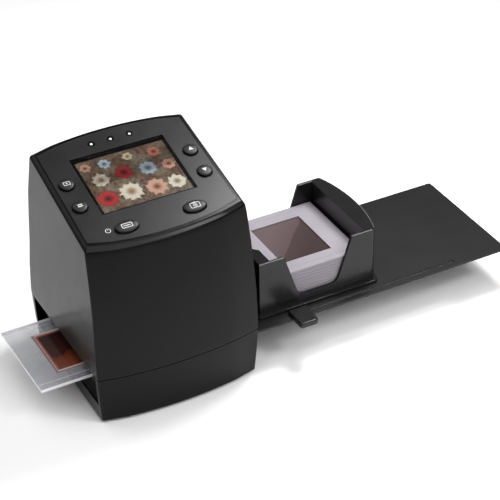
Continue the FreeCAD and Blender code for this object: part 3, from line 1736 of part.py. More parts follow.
def make_holder():
    """Clear holder: base with a ledge, cover with two ridges, and the piece of film between."""
    x = about(HOLDER_MIDDLE, "slide_side / 2")
    y = about("0", "slide_side / 2")
    window_x = about(HOLDER_MIDDLE, "slide_window_x / 2")
    window_y = about("0", "slide_window_y / 2")
    ledge_x = about(HOLDER_MIDDLE, "slide_window_x / 2 - holder_ledge")
    ledge_y = about("0", "slide_window_y / 2 - holder_ledge")
    bottom = CHANNEL_FLOOR
    split = f"{bottom} + holder_base_thickness"
    top = f"{split} + holder_cover_thickness"
    film_bottom = f"{split} - film_thickness"
    base = cut(
        "holder_base_cut",
        block("holder_plate", x, y, (bottom, split)),
        block("holder_ledge", ledge_x, ledge_y, (f"{bottom} - overrun", f"{split} + overrun")),
        block("holder_pocket", window_x, window_y, (film_bottom, f"{split} + overrun")),
    )
    finish(base, "holder_base")
    ridge_span = (split, f"{top} + ridge_height")
    ridges = [
        block("ridge", x, about(f"{end} * ridge_place", "ridge_width / 2"), ridge_span)
        for end in (-1, 1)
    ]
    cover = cut(
        "holder_cover_cut",
        fuse("holder_cover_solid", block("holder_cover_plate", x, y, (split, top)), *ridges),
        block("holder_window", ledge_x, ledge_y, (f"{split} - overrun", f"{top} + overrun")),
    )
    finish(cover, "holder_cover")
    film = block(
        "negative",
        about(HOLDER_MIDDLE, "slide_window_x / 2 - holder_edge_play"),
        about("0", "slide_window_y / 2 - holder_edge_play"),
        (film_bottom, split),
    )
    finish(film, "negative_film")


def check_and_write():
    """Stop if anything failed to build, otherwise write every piece."""
    doc.recompute()
    for item in doc.Objects:
        if "Invalid" in item.State or "Error" in item.State:
            raise RuntimeError(f"{item.Name} failed: {item.State}")
    os.makedirs("parts", exist_ok=True)
    for solid, label in PIECES:
        shape = solid.Shape
        if shape.isNull() or not shape.isValid() or shape.Volume <= 0:
            raise RuntimeError(f"{label} has no valid shape")
        shape.exportStep(f"parts/{label}.step")
        print(f"{label:20s} solids {len(shape.Solids):2d} volume {shape.Volume:10.1f}")


fill_sheet()
outside = housing_form("outside_form", "0", smooth_sections(), bevelled=True)
inside = housing_form("inside_form", "wall", [TOE] + NAMED_SECTIONS)
skin = housing_form("skin_form", "seam_groove_depth", smooth_sections(), bevelled=True)
make_base_shell()
make_upper_shell()
make_control_panel()
make_screen()
make_buttons()
make_indicator_lenses()
make_button_board()
make_light_source()
make_camera()
make_main_board()
make_ribbons()
make_detent_spring()
make_fasteners()
make_tray_plate()
make_tray_channel()
make_pusher()
make_magazine()
make_stack()
make_holder()
check_and_write()
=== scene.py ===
"""Looks of a desktop film negative scanner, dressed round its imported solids.

The housing bulges and leans back to a sloping control panel with a picture screen. A flat tray
runs through it and carries an open magazine of framed slides; a clear holder with a piece of
negative film comes out at the left. All lengths are in metres unless a name says otherwise.
"""

from __future__ import annotations

import logging
import math
from collections.abc import Callable, Iterator
from contextlib import contextmanager
from dataclasses import dataclass, field
from enum import Enum

import bmesh
import bpy
from mathutils import Matrix, Vector

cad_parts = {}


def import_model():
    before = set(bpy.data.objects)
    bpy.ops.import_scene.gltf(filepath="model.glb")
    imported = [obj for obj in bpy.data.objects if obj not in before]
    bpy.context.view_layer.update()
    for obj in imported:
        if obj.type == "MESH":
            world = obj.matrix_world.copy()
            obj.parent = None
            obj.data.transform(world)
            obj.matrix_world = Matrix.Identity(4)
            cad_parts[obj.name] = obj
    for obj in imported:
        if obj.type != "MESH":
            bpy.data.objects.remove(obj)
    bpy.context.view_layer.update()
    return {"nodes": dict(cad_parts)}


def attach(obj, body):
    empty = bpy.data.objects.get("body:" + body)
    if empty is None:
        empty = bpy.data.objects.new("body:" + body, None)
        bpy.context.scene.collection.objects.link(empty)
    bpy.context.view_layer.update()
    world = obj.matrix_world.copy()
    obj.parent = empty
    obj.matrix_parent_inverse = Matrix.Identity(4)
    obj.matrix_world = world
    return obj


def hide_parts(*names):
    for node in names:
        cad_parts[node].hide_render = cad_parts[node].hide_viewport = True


log = logging.getLogger("scanner")

MM = 0.001
Colour = tuple[float, float, float]
Socket = bpy.types.NodeSocket
Element = bmesh.types.BMFace | bmesh.types.BMEdge

# The curve of display levels, straight near black
DISPLAY_WHITE = 255
DISPLAY_TOE = 0.04045
DISPLAY_TOE_SLOPE = 12.92
DISPLAY_OFFSET = 0.055
DISPLAY_POWER = 2.4

# Where a cloudy pattern counts as low and as high
NOISE_LOW = 0.3
NOISE_HIGH = 0.7


def linear(share: float) -> float:
    """A linear level from a display level of 0 to 1."""
    if share <= DISPLAY_TOE:
        return share / DISPLAY_TOE_SLOPE
    return ((share + DISPLAY_OFFSET) / (1 + DISPLAY_OFFSET)) ** DISPLAY_POWER


def rgb(red: int, green: int, blue: int) -> Colour:
    """A linear colour from display levels of 0 to 255."""
    return tuple(linear(level / DISPLAY_WHITE) for level in (red, green, blue))


def grey(level: int) -> Colour:
    """A neutral linear colour from a display level of 0 to 255."""
    return rgb(level, level, level)


def toned(colour: Colour, share: float) -> Colour:
    """A colour made darker or lighter, but no lighter than white.

    Args:
        colour: The colour.
        share: What its levels are multiplied by.

    Returns:
        The new colour.
    """
    return tuple(min(1.0, level * share) for level in colour)


@dataclass(frozen=True)
class PanelPlane:
    """The control panel's plane: x across, y up the slope and z out of it, in millimetres."""

    foot_x: float = -60.5
    foot_y: float = -29.99
    foot_z: float = 93.79
    tilt: float = math.radians(14.22)

    def foot(self) -> Vector:
        """The plane's own origin in the object's metres."""
        return Vector((self.foot_x, self.foot_y, self.foot_z)) * MM

    def matrix(self) -> Matrix:
        """What takes the plane's millimetres to the object's metres."""
        turn = Matrix.Rotation(self.tilt, 4, "X")
        return Matrix.Translation(self.foot()) @ turn @ Matrix.Scale(MM, 4)

    def normal(self) -> Vector:
        """The way out of the plane."""
        return Vector((0.0, -math.sin(self.tilt), math.cos(self.tilt)))

    def height(self, place: Vector) -> float:
        """How far a place stands out of the plane.

        Args:
            place: The place, in metres.

        Returns:
            The height in metres, negative behind the plane.
        """
        return (place - self.foot()).dot(self.normal())


PANEL = PanelPlane()


# Materials


class Bench:
    """One material's nodes, laid out round a Principled shader."""

    # The colour sockets of a Mix node
    MIX_SHARE, MIX_UNDER, MIX_OVER, MIX_RESULT = 0, 6, 7, 2
    RAMP_MIDDLE = 0.5

    def __init__(self, name: str) -> None:
        """Start an empty material.

        Args:
            name: What the material is called.
        """
        self.material = bpy.data.materials.new(name)
        self.material.use_nodes = True
        self.tree = self.material.node_tree
        self.tree.nodes.clear()
        self.shader = self.add("ShaderNodeBsdfPrincipled")
        output = self.add("ShaderNodeOutputMaterial")
        self.link(self.shader.outputs[0], output.inputs[0])
        self.places = self.add("ShaderNodeTexCoord").outputs["Object"]

    def add(self, kind: str, **settings: str | bool) -> bpy.types.Node:
        """Add a node.

        Args:
            kind: The node's type.
            settings: Properties of the node.

        Returns:
            The new node.
        """
        node = self.tree.nodes.new(kind)
        for name, setting in settings.items():
            setattr(node, name, setting)
        return node

    def link(self, source: Socket, target: Socket) -> None:
        """Join two sockets.

        Args:
            source: The output.
            target: The input.
        """
        self.tree.links.new(source, target)

    def constant(self, **levels: float | Colour) -> None:
        """Set sockets of the shader that are the same all over.

        Args:
            levels: Socket names, with _ for a space, and their levels.
        """
        for name, level in levels.items():
            socket = self.shader.inputs[name.replace("_", " ")]
            socket.default_value = (*level, 1.0) if isinstance(level, tuple) else level

    def put(self, name: str, source: Socket) -> None:
        """Lead a pattern into a socket of the shader.

        Args:
            name: The shader's socket.
            source: The pattern.
        """
        self.link(source, self.shader.inputs[name])

    def maths(self, operation: str, *sources: Socket | float) -> Socket:
        """Reckon with patterns and numbers.

        Args:
            operation: The name of the sum.
            sources: Sockets or plain numbers.

        Returns:
            The socket with the result.
        """
        node = self.add("ShaderNodeMath", operation=operation)
        for target, source in zip(node.inputs, sources):
            if isinstance(source, (int, float)):
                target.default_value = source
            else:
                self.link(source, target)
        return node.outputs[0]

    def mapped(
        self,
        scale: tuple[float, float, float] = (1.0, 1.0, 1.0),
        turn: tuple[float, float, float] = (0.0, 0.0, 0.0),
        shift: tuple[float, float, float] = (0.0, 0.0, 0.0),
    ) -> Socket:
        """The piece's places, scaled, turned and then shifted.

        Args:
            scale: How much each axis is stretched.
            turn: The turn about each axis.
            shift: What is added at the end.

        Returns:
            The socket with the places.
        """
        node = self.add("ShaderNodeMapping")
        node.inputs["Scale"].default_value = scale
        node.inputs["Rotation"].default_value = turn
        node.inputs["Location"].default_value = shift
        self.link(self.places, node.inputs["Vector"])
        return node.outputs[0]

    def noise(self, scale: float, detail: float = 3.0, places: Socket | None = None) -> Socket:
        """A cloudy pattern fixed to the piece.

        Args:
            scale: Blotches per unit of the places.
            detail: How many finer layers it has.
            places: Where the pattern is read, if not at the piece's own places.

        Returns:
            The socket with the pattern's level, from 0 to 1.
        """
        node = self.add("ShaderNodeTexNoise")
        node.inputs["Scale"].default_value = scale
        node.inputs["Detail"].default_value = detail
        self.link(places or self.places, node.inputs["Vector"])
        return node.outputs["Fac"]

    def ranged(
        self,
        level: Socket,
        low: float,
        high: float,
        start: float = NOISE_LOW,
        end: float = NOISE_HIGH,
    ) -> Socket:
        """A pattern's level spread between two ends.

        Args:
            level: The pattern.
            low: What the pattern comes to at its start.
            high: What it comes to at its end.
            start: The pattern's level at the low end.
            end: The pattern's level at the high end.

        Returns:
            The socket with the spread level.
        """
        node = self.add("ShaderNodeMapRange")
        ends = {"From Min": start, "From Max": end, "To Min": low, "To Max": high}
        for name, number in ends.items():
            node.inputs[name].default_value = number
        self.link(level, node.inputs["Value"])
        return node.outputs["Result"]

    def ramp(self, level: Socket, *stops: tuple[float, Colour]) -> Socket:
        """A colour read off a row of colours by a pattern's level.

        Args:
            level: The pattern.
            stops: Levels and the colours there.

        Returns:
            The socket with the colour.
        """
        node = self.add("ShaderNodeValToRGB")
        elements = node.color_ramp.elements
        while len(elements) < len(stops):
            elements.new(self.RAMP_MIDDLE)
        for element, (place, colour) in zip(elements, stops):
            element.position = place
            element.color = (*colour, 1.0)
        self.link(level, node.inputs["Fac"])
        return node.outputs["Color"]

    def mottled(self, level: Socket, dark: Colour, light: Colour) -> Socket:
        """Two colours shared out by a cloudy pattern.

        Args:
            level: The pattern.
            dark: The colour where it is low.
            light: The colour where it is high.

        Returns:
            The socket with the colour.
        """
        return self.ramp(level, (NOISE_LOW, dark), (NOISE_HIGH, light))

    def mix(self, share: Socket, under: Socket, over: Socket) -> Socket:
        """One colour laid over another where a share is high.

        Args:
            share: How much of the upper colour shows.
            under: The lower colour.
            over: The upper colour.

        Returns:
            The socket with the mixed colour.
        """
        node = self.add("ShaderNodeMix", data_type="RGBA")
        self.link(share, node.inputs[self.MIX_SHARE])
        self.link(under, node.inputs[self.MIX_UNDER])
        self.link(over, node.inputs[self.MIX_OVER])
        return node.outputs[self.MIX_RESULT]

    def relief(self, level: Socket, depth: float, strength: float = 1.0) -> None:
        """Give the surface a fine relief.

        Args:
            level: The pattern that is raised where it is light.
            depth: How deep it is.
            strength: How much of it shows.
        """
        node = self.add("ShaderNodeBump")
        node.inputs["Distance"].default_value = depth
        node.inputs["Strength"].default_value = strength
        self.link(level, node.inputs["Height"])
        self.link(node.outputs["Normal"], self.shader.inputs["Normal"])


@dataclass(frozen=True)
class Recipe:
    """How one finish is made."""

    name: str

    def lay_out(self, bench: Bench) -> None:
        """Lay out the material's nodes.

        Args:
            bench: The material's bench.
        """
        raise NotImplementedError

    def material(self) -> bpy.types.Material:
        """Build the material.

        Returns:
            The finished material.
        """
        bench = Bench(self.name)
        self.lay_out(bench)
        return bench.material


@dataclass(frozen=True)
class Moulded(Recipe):
    """Moulded plastic or rubber with a fine spark-eroded grain."""

    colour: Colour
    roughness: float
    grain_size: float = 0.35 * MM
    grain_depth: float = 0.004 * MM
    unevenness: float = 0.03
    specular: float = 0.32
    blotches: float = 25.0
    patches: float = 90.0
    darkest: float = 0.88
    lightest: float = 1.12

    def lay_out(self, bench: Bench) -> None:
        """Lay out the material's nodes.

        Args:
            bench: The material's bench.
        """
        darker, lighter = toned(self.colour, self.darkest), toned(self.colour, self.lightest)
        bench.put("Base Color", bench.mottled(bench.noise(self.blotches), darker, lighter))
        low, high = self.roughness - self.unevenness, self.roughness + self.unevenness
        bench.put("Roughness", bench.ranged(bench.noise(self.patches), low, high))
        bench.relief(bench.noise(1 / self.grain_size, 2.0), self.grain_depth)
        bench.constant(Specular_IOR_Level=self.specular)


@dataclass(frozen=True)
class Metal(Recipe):
    """Plated sheet metal or screws with fine drawn lines."""

    colour: Colour
    roughness: float
    line_scale: float = 400.0
    line_stretch: tuple[float, float, float] = (1.0, 12.0, 1.0)
    line_depth: float = 0.004 * MM
    line_tone: float = 0.9
    smoothest: float = 0.8
    roughest: float = 1.3

    def lay_out(self, bench: Bench) -> None:
        """Lay out the material's nodes.

        Args:
            bench: The material's bench.
        """
        lines = bench.noise(self.line_scale, 2.0, bench.mapped(self.line_stretch))
        darker = toned(self.colour, self.line_tone)
        bench.put("Base Color", bench.mottled(lines, darker, self.colour))
        low, high = self.roughness * self.smoothest, self.roughness * self.roughest
        bench.put("Roughness", bench.ranged(lines, low, high))
        bench.relief(lines, self.line_depth)
        bench.constant(Metallic=1.0)


@dataclass(frozen=True)
class Glass(Recipe):
    """Coated glass or a clear window."""

    colour: Colour
    roughness: float
    index: float = 1.49
    haze_scale: float = 60.0
    haze_tone: float = 0.97
    haze_roughness: float = 0.01

    def lay_out(self, bench: Bench) -> None:
        """Lay out the material's nodes.

        Args:
            bench: The material's bench.
        """
        haze = bench.noise(self.haze_scale)
        dimmer = toned(self.colour, self.haze_tone)
        bench.put("Base Color", bench.mottled(haze, dimmer, self.colour))
        roughest = self.roughness + self.haze_roughness
        bench.put("Roughness", bench.ranged(haze, self.roughness, roughest))
        bench.constant(IOR=self.index, Transmission_Weight=1.0)


@dataclass(frozen=True)
class ClearPlastic(Recipe):
    """Clear moulded plastic: a thin veil over what lies behind it, with an optional painted glow.
    """

    colour: Colour
    veil: float
    roughness: float = 0.08
    painted_glow: float = 0.0
    index: float = 1.49
    flow_scale: float = 40.0
    flow_stretch: tuple[float, float, float] = (1.0, 3.0, 1.0)
    flow_tone: float = 0.9
    flow_roughness: float = 0.05
    flow_depth: float = 0.03 * MM
    flow_strength: float = 0.4
    veil_play: float = 0.15

    def lay_out(self, bench: Bench) -> None:
        """Lay out the material's nodes.

        Args:
            bench: The material's bench.
        """
        flow = bench.noise(self.flow_scale, 2.0, bench.mapped(self.flow_stretch))
        dimmer = toned(self.colour, self.flow_tone)
        bench.put("Base Color", bench.mottled(flow, dimmer, self.colour))
        roughest = self.roughness + self.flow_roughness
        bench.put("Roughness", bench.ranged(flow, self.roughness, roughest))
        thinnest, thickest = self.veil * (1 - self.veil_play), self.veil * (1 + self.veil_play)
        bench.put("Alpha", bench.ranged(flow, thinnest, thickest))
        bench.relief(flow, self.flow_depth, self.flow_strength)
        # painted_glow paints light into the plastic: it gives off light though it is no lamp.
        bench.constant(IOR=self.index, Emission_Color=self.colour, Emission_Strength=self.painted_glow)


@dataclass(frozen=True)
class Board(Recipe):
    """A circuit board: solder mask with copper runs showing through it."""

    mask: Colour
    copper: Colour
    run_scale: float = 260.0
    run_depth: float = 0.02 * MM
    roughness: float = 0.35

    def lay_out(self, bench: Bench) -> None:
        """Lay out the material's nodes.

        Args:
            bench: The material's bench.
        """
        cells = bench.add("ShaderNodeTexVoronoi", distance="CHEBYCHEV")
        cells.inputs["Scale"].default_value = self.run_scale
        bench.link(bench.places, cells.inputs["Vector"])
        runs = cells.outputs["Distance"]
        bench.put("Base Color", bench.mottled(runs, self.copper, self.mask))
        bench.relief(runs, self.run_depth)
        bench.constant(Roughness=self.roughness)


@dataclass(frozen=True)
class Film(Recipe):
    """Developed film: a soft picture in bands, with a paler rebate round it."""

    bands: tuple[tuple[float, Colour], ...]
    rebate: Colour
    middle_x: float
    half_x: float
    half_y: float
    rebate_width: float
    slant: float
    cloud: float
    middle_y: float = 0.29
    roughness: float = 0.18
    unevenness: float = 0.04
    index: float = 1.5
    cloud_scale: float = 0.16
    fine_scale: float = 0.5
    rebate_tone: float = 1.5
    rebate_ends: tuple[float, float] = (0.35, 0.65)
    blur: float = 0.3

    def lay_out(self, bench: Bench) -> None:
        """Lay out the material's nodes.

        Args:
            bench: The material's bench.
        """
        places = bench.mapped((1 / MM,) * 3, shift=(-self.middle_x, -self.middle_y, 0.0))
        split = bench.add("ShaderNodeSeparateXYZ")
        bench.link(places, split.inputs[0])
        x, y = split.outputs[0], split.outputs[1]
        cloud = bench.noise(self.cloud_scale, 4.0, places)
        along = bench.maths("ADD", y, bench.maths("MULTIPLY", x, self.slant))
        along = bench.maths("ADD", along, bench.ranged(cloud, -self.cloud, self.cloud))
        along = bench.ranged(along, 0.0, 1.0, -self.half_y, self.half_y)
        picture = bench.ramp(along, *self.bands)
        insides = []
        for half, place in ((self.half_x, x), (self.half_y, y)):
            reach = bench.maths("ABSOLUTE", place)
            insides.append(bench.maths("SUBTRACT", half - self.rebate_width, reach))
        inside = bench.maths("MINIMUM", *insides)
        fine = bench.noise(self.fine_scale, 3.0, places)
        paler = toned(self.rebate, self.rebate_tone)
        start, end = self.rebate_ends
        border = bench.ramp(fine, (start, self.rebate), (end, paler))
        share = bench.ranged(inside, 1.0, 0.0, -self.blur, self.blur)
        bench.put("Base Color", bench.mix(share, picture, border))
        low, high = self.roughness - self.unevenness, self.roughness + self.unevenness
        bench.put("Roughness", bench.ranged(fine, low, high))
        bench.constant(IOR=self.index)


@dataclass(frozen=True)
class Bloom:
    """One flower in the screen's picture, in the panel plane's millimetres."""

    x: float
    y: float
    radius: float
    petals: int
    colour: Colour
    heart: Colour


@dataclass(frozen=True)
class GardenPicture(Recipe):
    """The screen's own picture: blooms before soft foliage, with a black border round it."""

    name: str = "garden_picture"
    left: float = -21.6
    right: float = 22.4
    front: float = 15.8
    back: float = 49.2
    strength: float = 0.85
    roughness: float = 0.25
    specular: float = 0.2
    wave: float = 0.09
    fray: float = 0.12
    petal_tone: float = 0.55
    petal_stops: tuple[float, ...] = (0.12, 0.3, 0.55, 0.85, 1.0)
    petal_edge: tuple[float, float] = (0.88, 1.06)
    broad_scale: float = 0.13
    fine_scale: float = 0.9
    leaf_scale: float = 0.55
    leaf_share: float = 0.45
    foliage: tuple[tuple[float, Colour], ...] = (
        (0.45, rgb(58, 42, 34)),
        (0.75, rgb(112, 92, 74)),
        (1.0, rgb(150, 136, 116)),
    )
    haze: tuple[tuple[float, Colour], ...] = (
        (0.35, rgb(86, 52, 44)),
        (0.65, rgb(142, 134, 118)),
    )
    haze_ends: tuple[float, float] = (0.2, 0.8)
    border: tuple[Colour, Colour] = (grey(3), grey(6))
    blooms: tuple[Bloom, ...] = (
        Bloom(-18.2, 45.0, 2.6, 6, rgb(196, 150, 130), rgb(110, 60, 50)),
        Bloom(-9.0, 44.5, 2.9, 7, rgb(172, 190, 200), rgb(90, 92, 84)),
        Bloom(3.0, 45.2, 2.4, 6, rgb(206, 190, 160), rgb(120, 84, 50)),
        Bloom(15.5, 43.8, 3.1, 7, rgb(190, 120, 104), rgb(96, 40, 36)),
        Bloom(-14.5, 35.5, 4.0, 8, rgb(214, 204, 182), rgb(150, 110, 60)),
        Bloom(-2.8, 36.4, 4.2, 8, rgb(160, 48, 52), rgb(78, 22, 24)),
        Bloom(8.6, 35.0, 4.1, 9, rgb(168, 184, 196), rgb(100, 96, 84)),
        Bloom(18.6, 34.0, 3.2, 7, rgb(210, 160, 136), rgb(120, 70, 54)),
        Bloom(-16.2, 23.6, 5.0, 9, rgb(176, 62, 60), rgb(84, 28, 26)),
        Bloom(-4.6, 24.0, 5.4, 10, rgb(226, 216, 196), rgb(166, 122, 62)),
        Bloom(7.4, 22.6, 4.9, 9, rgb(214, 168, 144), rgb(122, 70, 52)),
        Bloom(17.4, 22.4, 4.2, 8, rgb(228, 220, 202), rgb(160, 118, 66)),
    )

    def laid(
        self, bench: Bench, under: Socket, bloom: Bloom, split: list[Socket], fine: Socket
    ) -> Socket:
        """Lay one bloom over the picture so far.

        Args:
            bench: The material's bench.
            under: The colour so far.
            bloom: The bloom.
            split: The sockets with the place across and up the slope.
            fine: A fine pattern that frays the petals.

        Returns:
            The colour with the bloom.
        """
        across = bench.maths("SUBTRACT", split[0], bloom.x)
        along = bench.maths("SUBTRACT", split[1], bloom.y)
        squares = [bench.maths("MULTIPLY", leg, leg) for leg in (across, along)]
        reach = bench.maths("SQRT", bench.maths("ADD", *squares))
        turn = bench.maths("MULTIPLY", bench.maths("ARCTAN2", along, across), float(bloom.petals))
        waves = bench.maths("MULTIPLY", bench.maths("COSINE", turn), self.wave)
        frayed = bench.maths("ADD", waves, bench.ranged(fine, -self.fray, self.fray))
        share = bench.maths("DIVIDE", reach, bloom.radius)
        share = bench.maths("SUBTRACT", share, bench.maths("MULTIPLY", frayed, share))
        shaded = toned(bloom.colour, self.petal_tone)
        colours = (bloom.heart, shaded, bloom.colour, bloom.colour, shaded)
        light = bench.ramp(share, *zip(self.petal_stops, colours))
        return bench.mix(bench.ranged(share, 1.0, 0.0, *self.petal_edge), under, light)

    def lay_out(self, bench: Bench) -> None:
        """Lay out the material's nodes.

        Args:
            bench: The material's bench.
        """
        foot = Matrix.Rotation(-PANEL.tilt, 3, "X") @ (PANEL.foot() / MM)
        places = bench.mapped((1 / MM,) * 3, (-PANEL.tilt, 0.0, 0.0), tuple(-foot))
        node = bench.add("ShaderNodeSeparateXYZ")
        bench.link(places, node.inputs[0])
        split = list(node.outputs)
        broad = bench.noise(self.broad_scale, 2.0, places)
        fine = bench.noise(self.fine_scale, 4.0, places)
        leaves = bench.add("ShaderNodeTexVoronoi", feature="F1")
        leaves.inputs["Scale"].default_value = self.leaf_scale
        bench.link(places, leaves.inputs["Vector"])
        leaf = bench.maths("MULTIPLY", leaves.outputs["Distance"], self.leaf_share)
        foliage = bench.ramp(bench.maths("ADD", leaf, fine), *self.foliage)
        haze = bench.ramp(broad, *self.haze)
        colour = bench.mix(bench.ranged(fine, *self.haze_ends), foliage, haze)
        for bloom in self.blooms:
            colour = self.laid(bench, colour, bloom, split, fine)
        border = bench.mottled(fine, *self.border)
        shares = []
        for number, low, high in ((0, self.left, self.right), (1, self.front, self.back)):
            shares.append(bench.maths("GREATER_THAN", split[number], low))
            shares.append(bench.maths("LESS_THAN", split[number], high))
        inside = shares[0]
        for share in shares[1:]:
            inside = bench.maths("MULTIPLY", inside, share)
        shown = bench.mix(inside, border, colour)
        bench.put("Emission Color", shown)
        bench.put("Base Color", border)
        bench.constant(Emission_Strength=self.strength)
        bench.constant(Roughness=self.roughness, Specular_IOR_Level=self.specular)


class Finish(Enum):
    """The finishes of the object, each with its recipe."""

    HOUSING = Moulded("housing_black", grey(8), 0.24, specular=0.16)
    PANEL = Moulded("panel_black", grey(18), 0.34, specular=0.34)
    TRAY = Moulded("tray_black", grey(27), 0.46, specular=0.24)
    MAGAZINE = Moulded("magazine_black", grey(25), 0.25)
    BUTTON = Moulded("button_black", grey(14), 0.42)
    PRINT = Moulded("print_white", grey(205), 0.6)
    INDICATOR = Moulded("indicator_white", grey(235), 0.4)
    LENS_WELL = Moulded("indicator_well", grey(6), 0.2)
    RUBBER = Moulded("rubber_black", grey(24), 0.8, unevenness=0.1)
    INNER = Moulded("inner_black", grey(14), 0.7)
    WHITE = Moulded("light_white", grey(232), 0.6)
    MOUNT = Moulded("slide_mount_grey", rgb(142, 137, 144), 0.55)
    RIBBON = Moulded("ribbon_amber", rgb(205, 150, 70), 0.4)
    SENSOR = Moulded("sensor_top", rgb(60, 62, 90), 0.15)
    LAMP = Moulded("lamp_yellow", rgb(240, 225, 140), 0.2)
    STEEL = Metal("steel", grey(200), 0.3)
    WINDOW = Glass("screen_window_glass", grey(254), 0.0, index=1.12)
    LENS = Glass("lens_glass", rgb(225, 240, 250), 0.01, index=1.6)
    FILTER = Glass("filter_glass", rgb(150, 225, 220), 0.01)
    CLEAR = ClearPlastic("clear_plate", rgb(196, 197, 203), 0.24)
    # The cut edges: near-white, more opaque and glowing, a painted highlight and painted glow.
    PAINTED_EDGE_GLOW = ClearPlastic("clear_edge_painted_glow", grey(240), 0.8, painted_glow=0.15)
    BOARD = Board("circuit_board", rgb(16, 92, 52), rgb(60, 130, 70))
    SLIDE_FILM = Film(
        "slide_film",
        (
            (0.0, rgb(58, 46, 47)),
            (0.47, rgb(66, 53, 54)),
            (0.5, rgb(82, 68, 69)),
            (1.0, rgb(92, 79, 80)),
        ),
        rgb(48, 40, 40),
        middle_x=19.8,
        half_x=14.6,
        half_y=17.4,
        rebate_width=0.4,
        slant=-1.1,
        cloud=0.6,
    )
    NEGATIVE = Film(
        "negative_film",
        (
            (0.0, rgb(128, 66, 44)),
            (0.3, rgb(104, 50, 30)),
            (0.45, rgb(60, 30, 24)),
            (1.0, rgb(46, 24, 21)),
        ),
        rgb(138, 82, 70),
        middle_x=-98.8,
        half_x=13.3,
        half_y=16.1,
        rebate_width=2.2,
        slant=0.15,
        cloud=4.0,
    )
    PICTURE = GardenPicture()


class Finishes:
    """Every finish of the object, made once."""

    def __init__(self) -> None:
        """Make the materials."""
        self.materials = {finish: finish.value.material() for finish in Finish}

    def dress(self, piece: bpy.types.Object, *finishes: Finish) -> None:
        """Give a piece its finishes, the first of them all over.

        Args:
            piece: The mesh object.
            finishes: The finishes, in the order of its material slots.
        """
        piece.data.materials.clear()
        for finish in finishes:
            piece.data.materials.append(self.materials[finish])


# Modelling


class Workpiece:
    """One piece in the making, with its place in its own mesh."""

    MERGE_GAP = 0.002 * MM
    FLAT_ANGLE = math.radians(0.4)
    BEVEL_ANGLE = math.radians(35)
    SHADE_ANGLE = math.radians(32)
    DOME_SHADE_ANGLE = math.radians(50)

    def __init__(self, name: str, mesh: bpy.types.Mesh) -> None:
        """Put a mesh on the bench.

        Args:
            name: The piece's name.
            mesh: Its mesh.
        """
        self.piece = bpy.data.objects.new(name, mesh)
        bpy.context.scene.collection.objects.link(self.piece)

    @classmethod
    def blank(cls, name: str) -> Workpiece:
        """An empty piece.

        Args:
            name: The piece's name.

        Returns:
            The new piece in the making.
        """
        return cls(name, bpy.data.meshes.new(name))

    @classmethod
    def copied(cls, node: str) -> Workpiece:
        """A merged copy of a solid, its flat faces whole again.

        Args:
            node: The solid's name.

        Returns:
            The new piece in the making.
        """
        work = cls(node + "_skin", bpy.data.objects[node].data.copy())
        with work.edited():
            bpy.ops.mesh.select_all(action="SELECT")
            bpy.ops.mesh.remove_doubles(threshold=cls.MERGE_GAP)
            bpy.ops.mesh.customdata_custom_splitnormals_clear()
            bpy.ops.mesh.dissolve_limited(angle_limit=cls.FLAT_ANGLE)
        return work

    def alone(self) -> None:
        """Select nothing but this piece."""
        bpy.ops.object.select_all(action="DESELECT")
        self.piece.select_set(True)
        bpy.context.view_layer.objects.active = self.piece

    @contextmanager
    def edited(self) -> Iterator[None]:
        """Edit mode on this piece alone, with nothing selected."""
        self.alone()
        bpy.ops.object.mode_set(mode="EDIT")
        bpy.ops.mesh.select_mode(type="FACE")
        bpy.ops.mesh.select_all(action="DESELECT")
        yield
        bpy.ops.object.mode_set(mode="OBJECT")

    def pick(self, mode: str, test: Callable[[Element], bool]) -> int:
        """Select the faces or edges that pass a test, and nothing else.

        Args:
            mode: FACE or EDGE.
            test: What a face or edge has to pass.

        Returns:
            How many did.
        """
        bpy.ops.mesh.select_mode(type=mode)
        bpy.ops.mesh.select_all(action="DESELECT")
        form = bmesh.from_edit_mesh(self.piece.data)
        form.normal_update()
        elements = form.faces if mode == "FACE" else form.edges
        chosen = [element for element in elements if test(element)]
        for element in chosen:
            element.select_set(True)
        bmesh.update_edit_mesh(self.piece.data)
        return len(chosen)

    def applied(self, modifier: bpy.types.Modifier) -> None:
        """Apply a modifier.

        Args:
            modifier: The modifier, on this piece.
        """
        self.alone()
        bpy.ops.object.modifier_apply(modifier=modifier.name)

    def rounded(self, width: float) -> None:
        """Round every sharp edge with two facets.

        Args:
            width: How much is taken off each side of the edge.
        """
        modifier = self.piece.modifiers.new("rounded", "BEVEL")
        modifier.width = width
        modifier.segments = 2
        modifier.limit_method = "ANGLE"
        modifier.angle_limit = self.BEVEL_ANGLE
        self.applied(modifier)

    def smoothed(self, angle: float = SHADE_ANGLE) -> None:
        """Shade the piece smoothly, with its flat faces kept flat.

        Args:
            angle: Edges sharper than this stay sharp.
        """
        self.alone()
        bpy.ops.object.shade_smooth_by_angle(angle=angle)
        modifier = self.piece.modifiers.new("weighted", "WEIGHTED_NORMAL")
        modifier.keep_sharp = True
        self.applied(modifier)

    def fixed(self, body: str, slot: str, *stood_for: str) -> bpy.types.Object:
        """Let the piece ride on a body.

        Args:
            body: The body.
            slot: Not used.
            stood_for: The solids that it stands for.

        Returns:
            The finished piece.
        """
        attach(self.piece, body)
        if stood_for:
            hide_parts(*stood_for)
        return self.piece


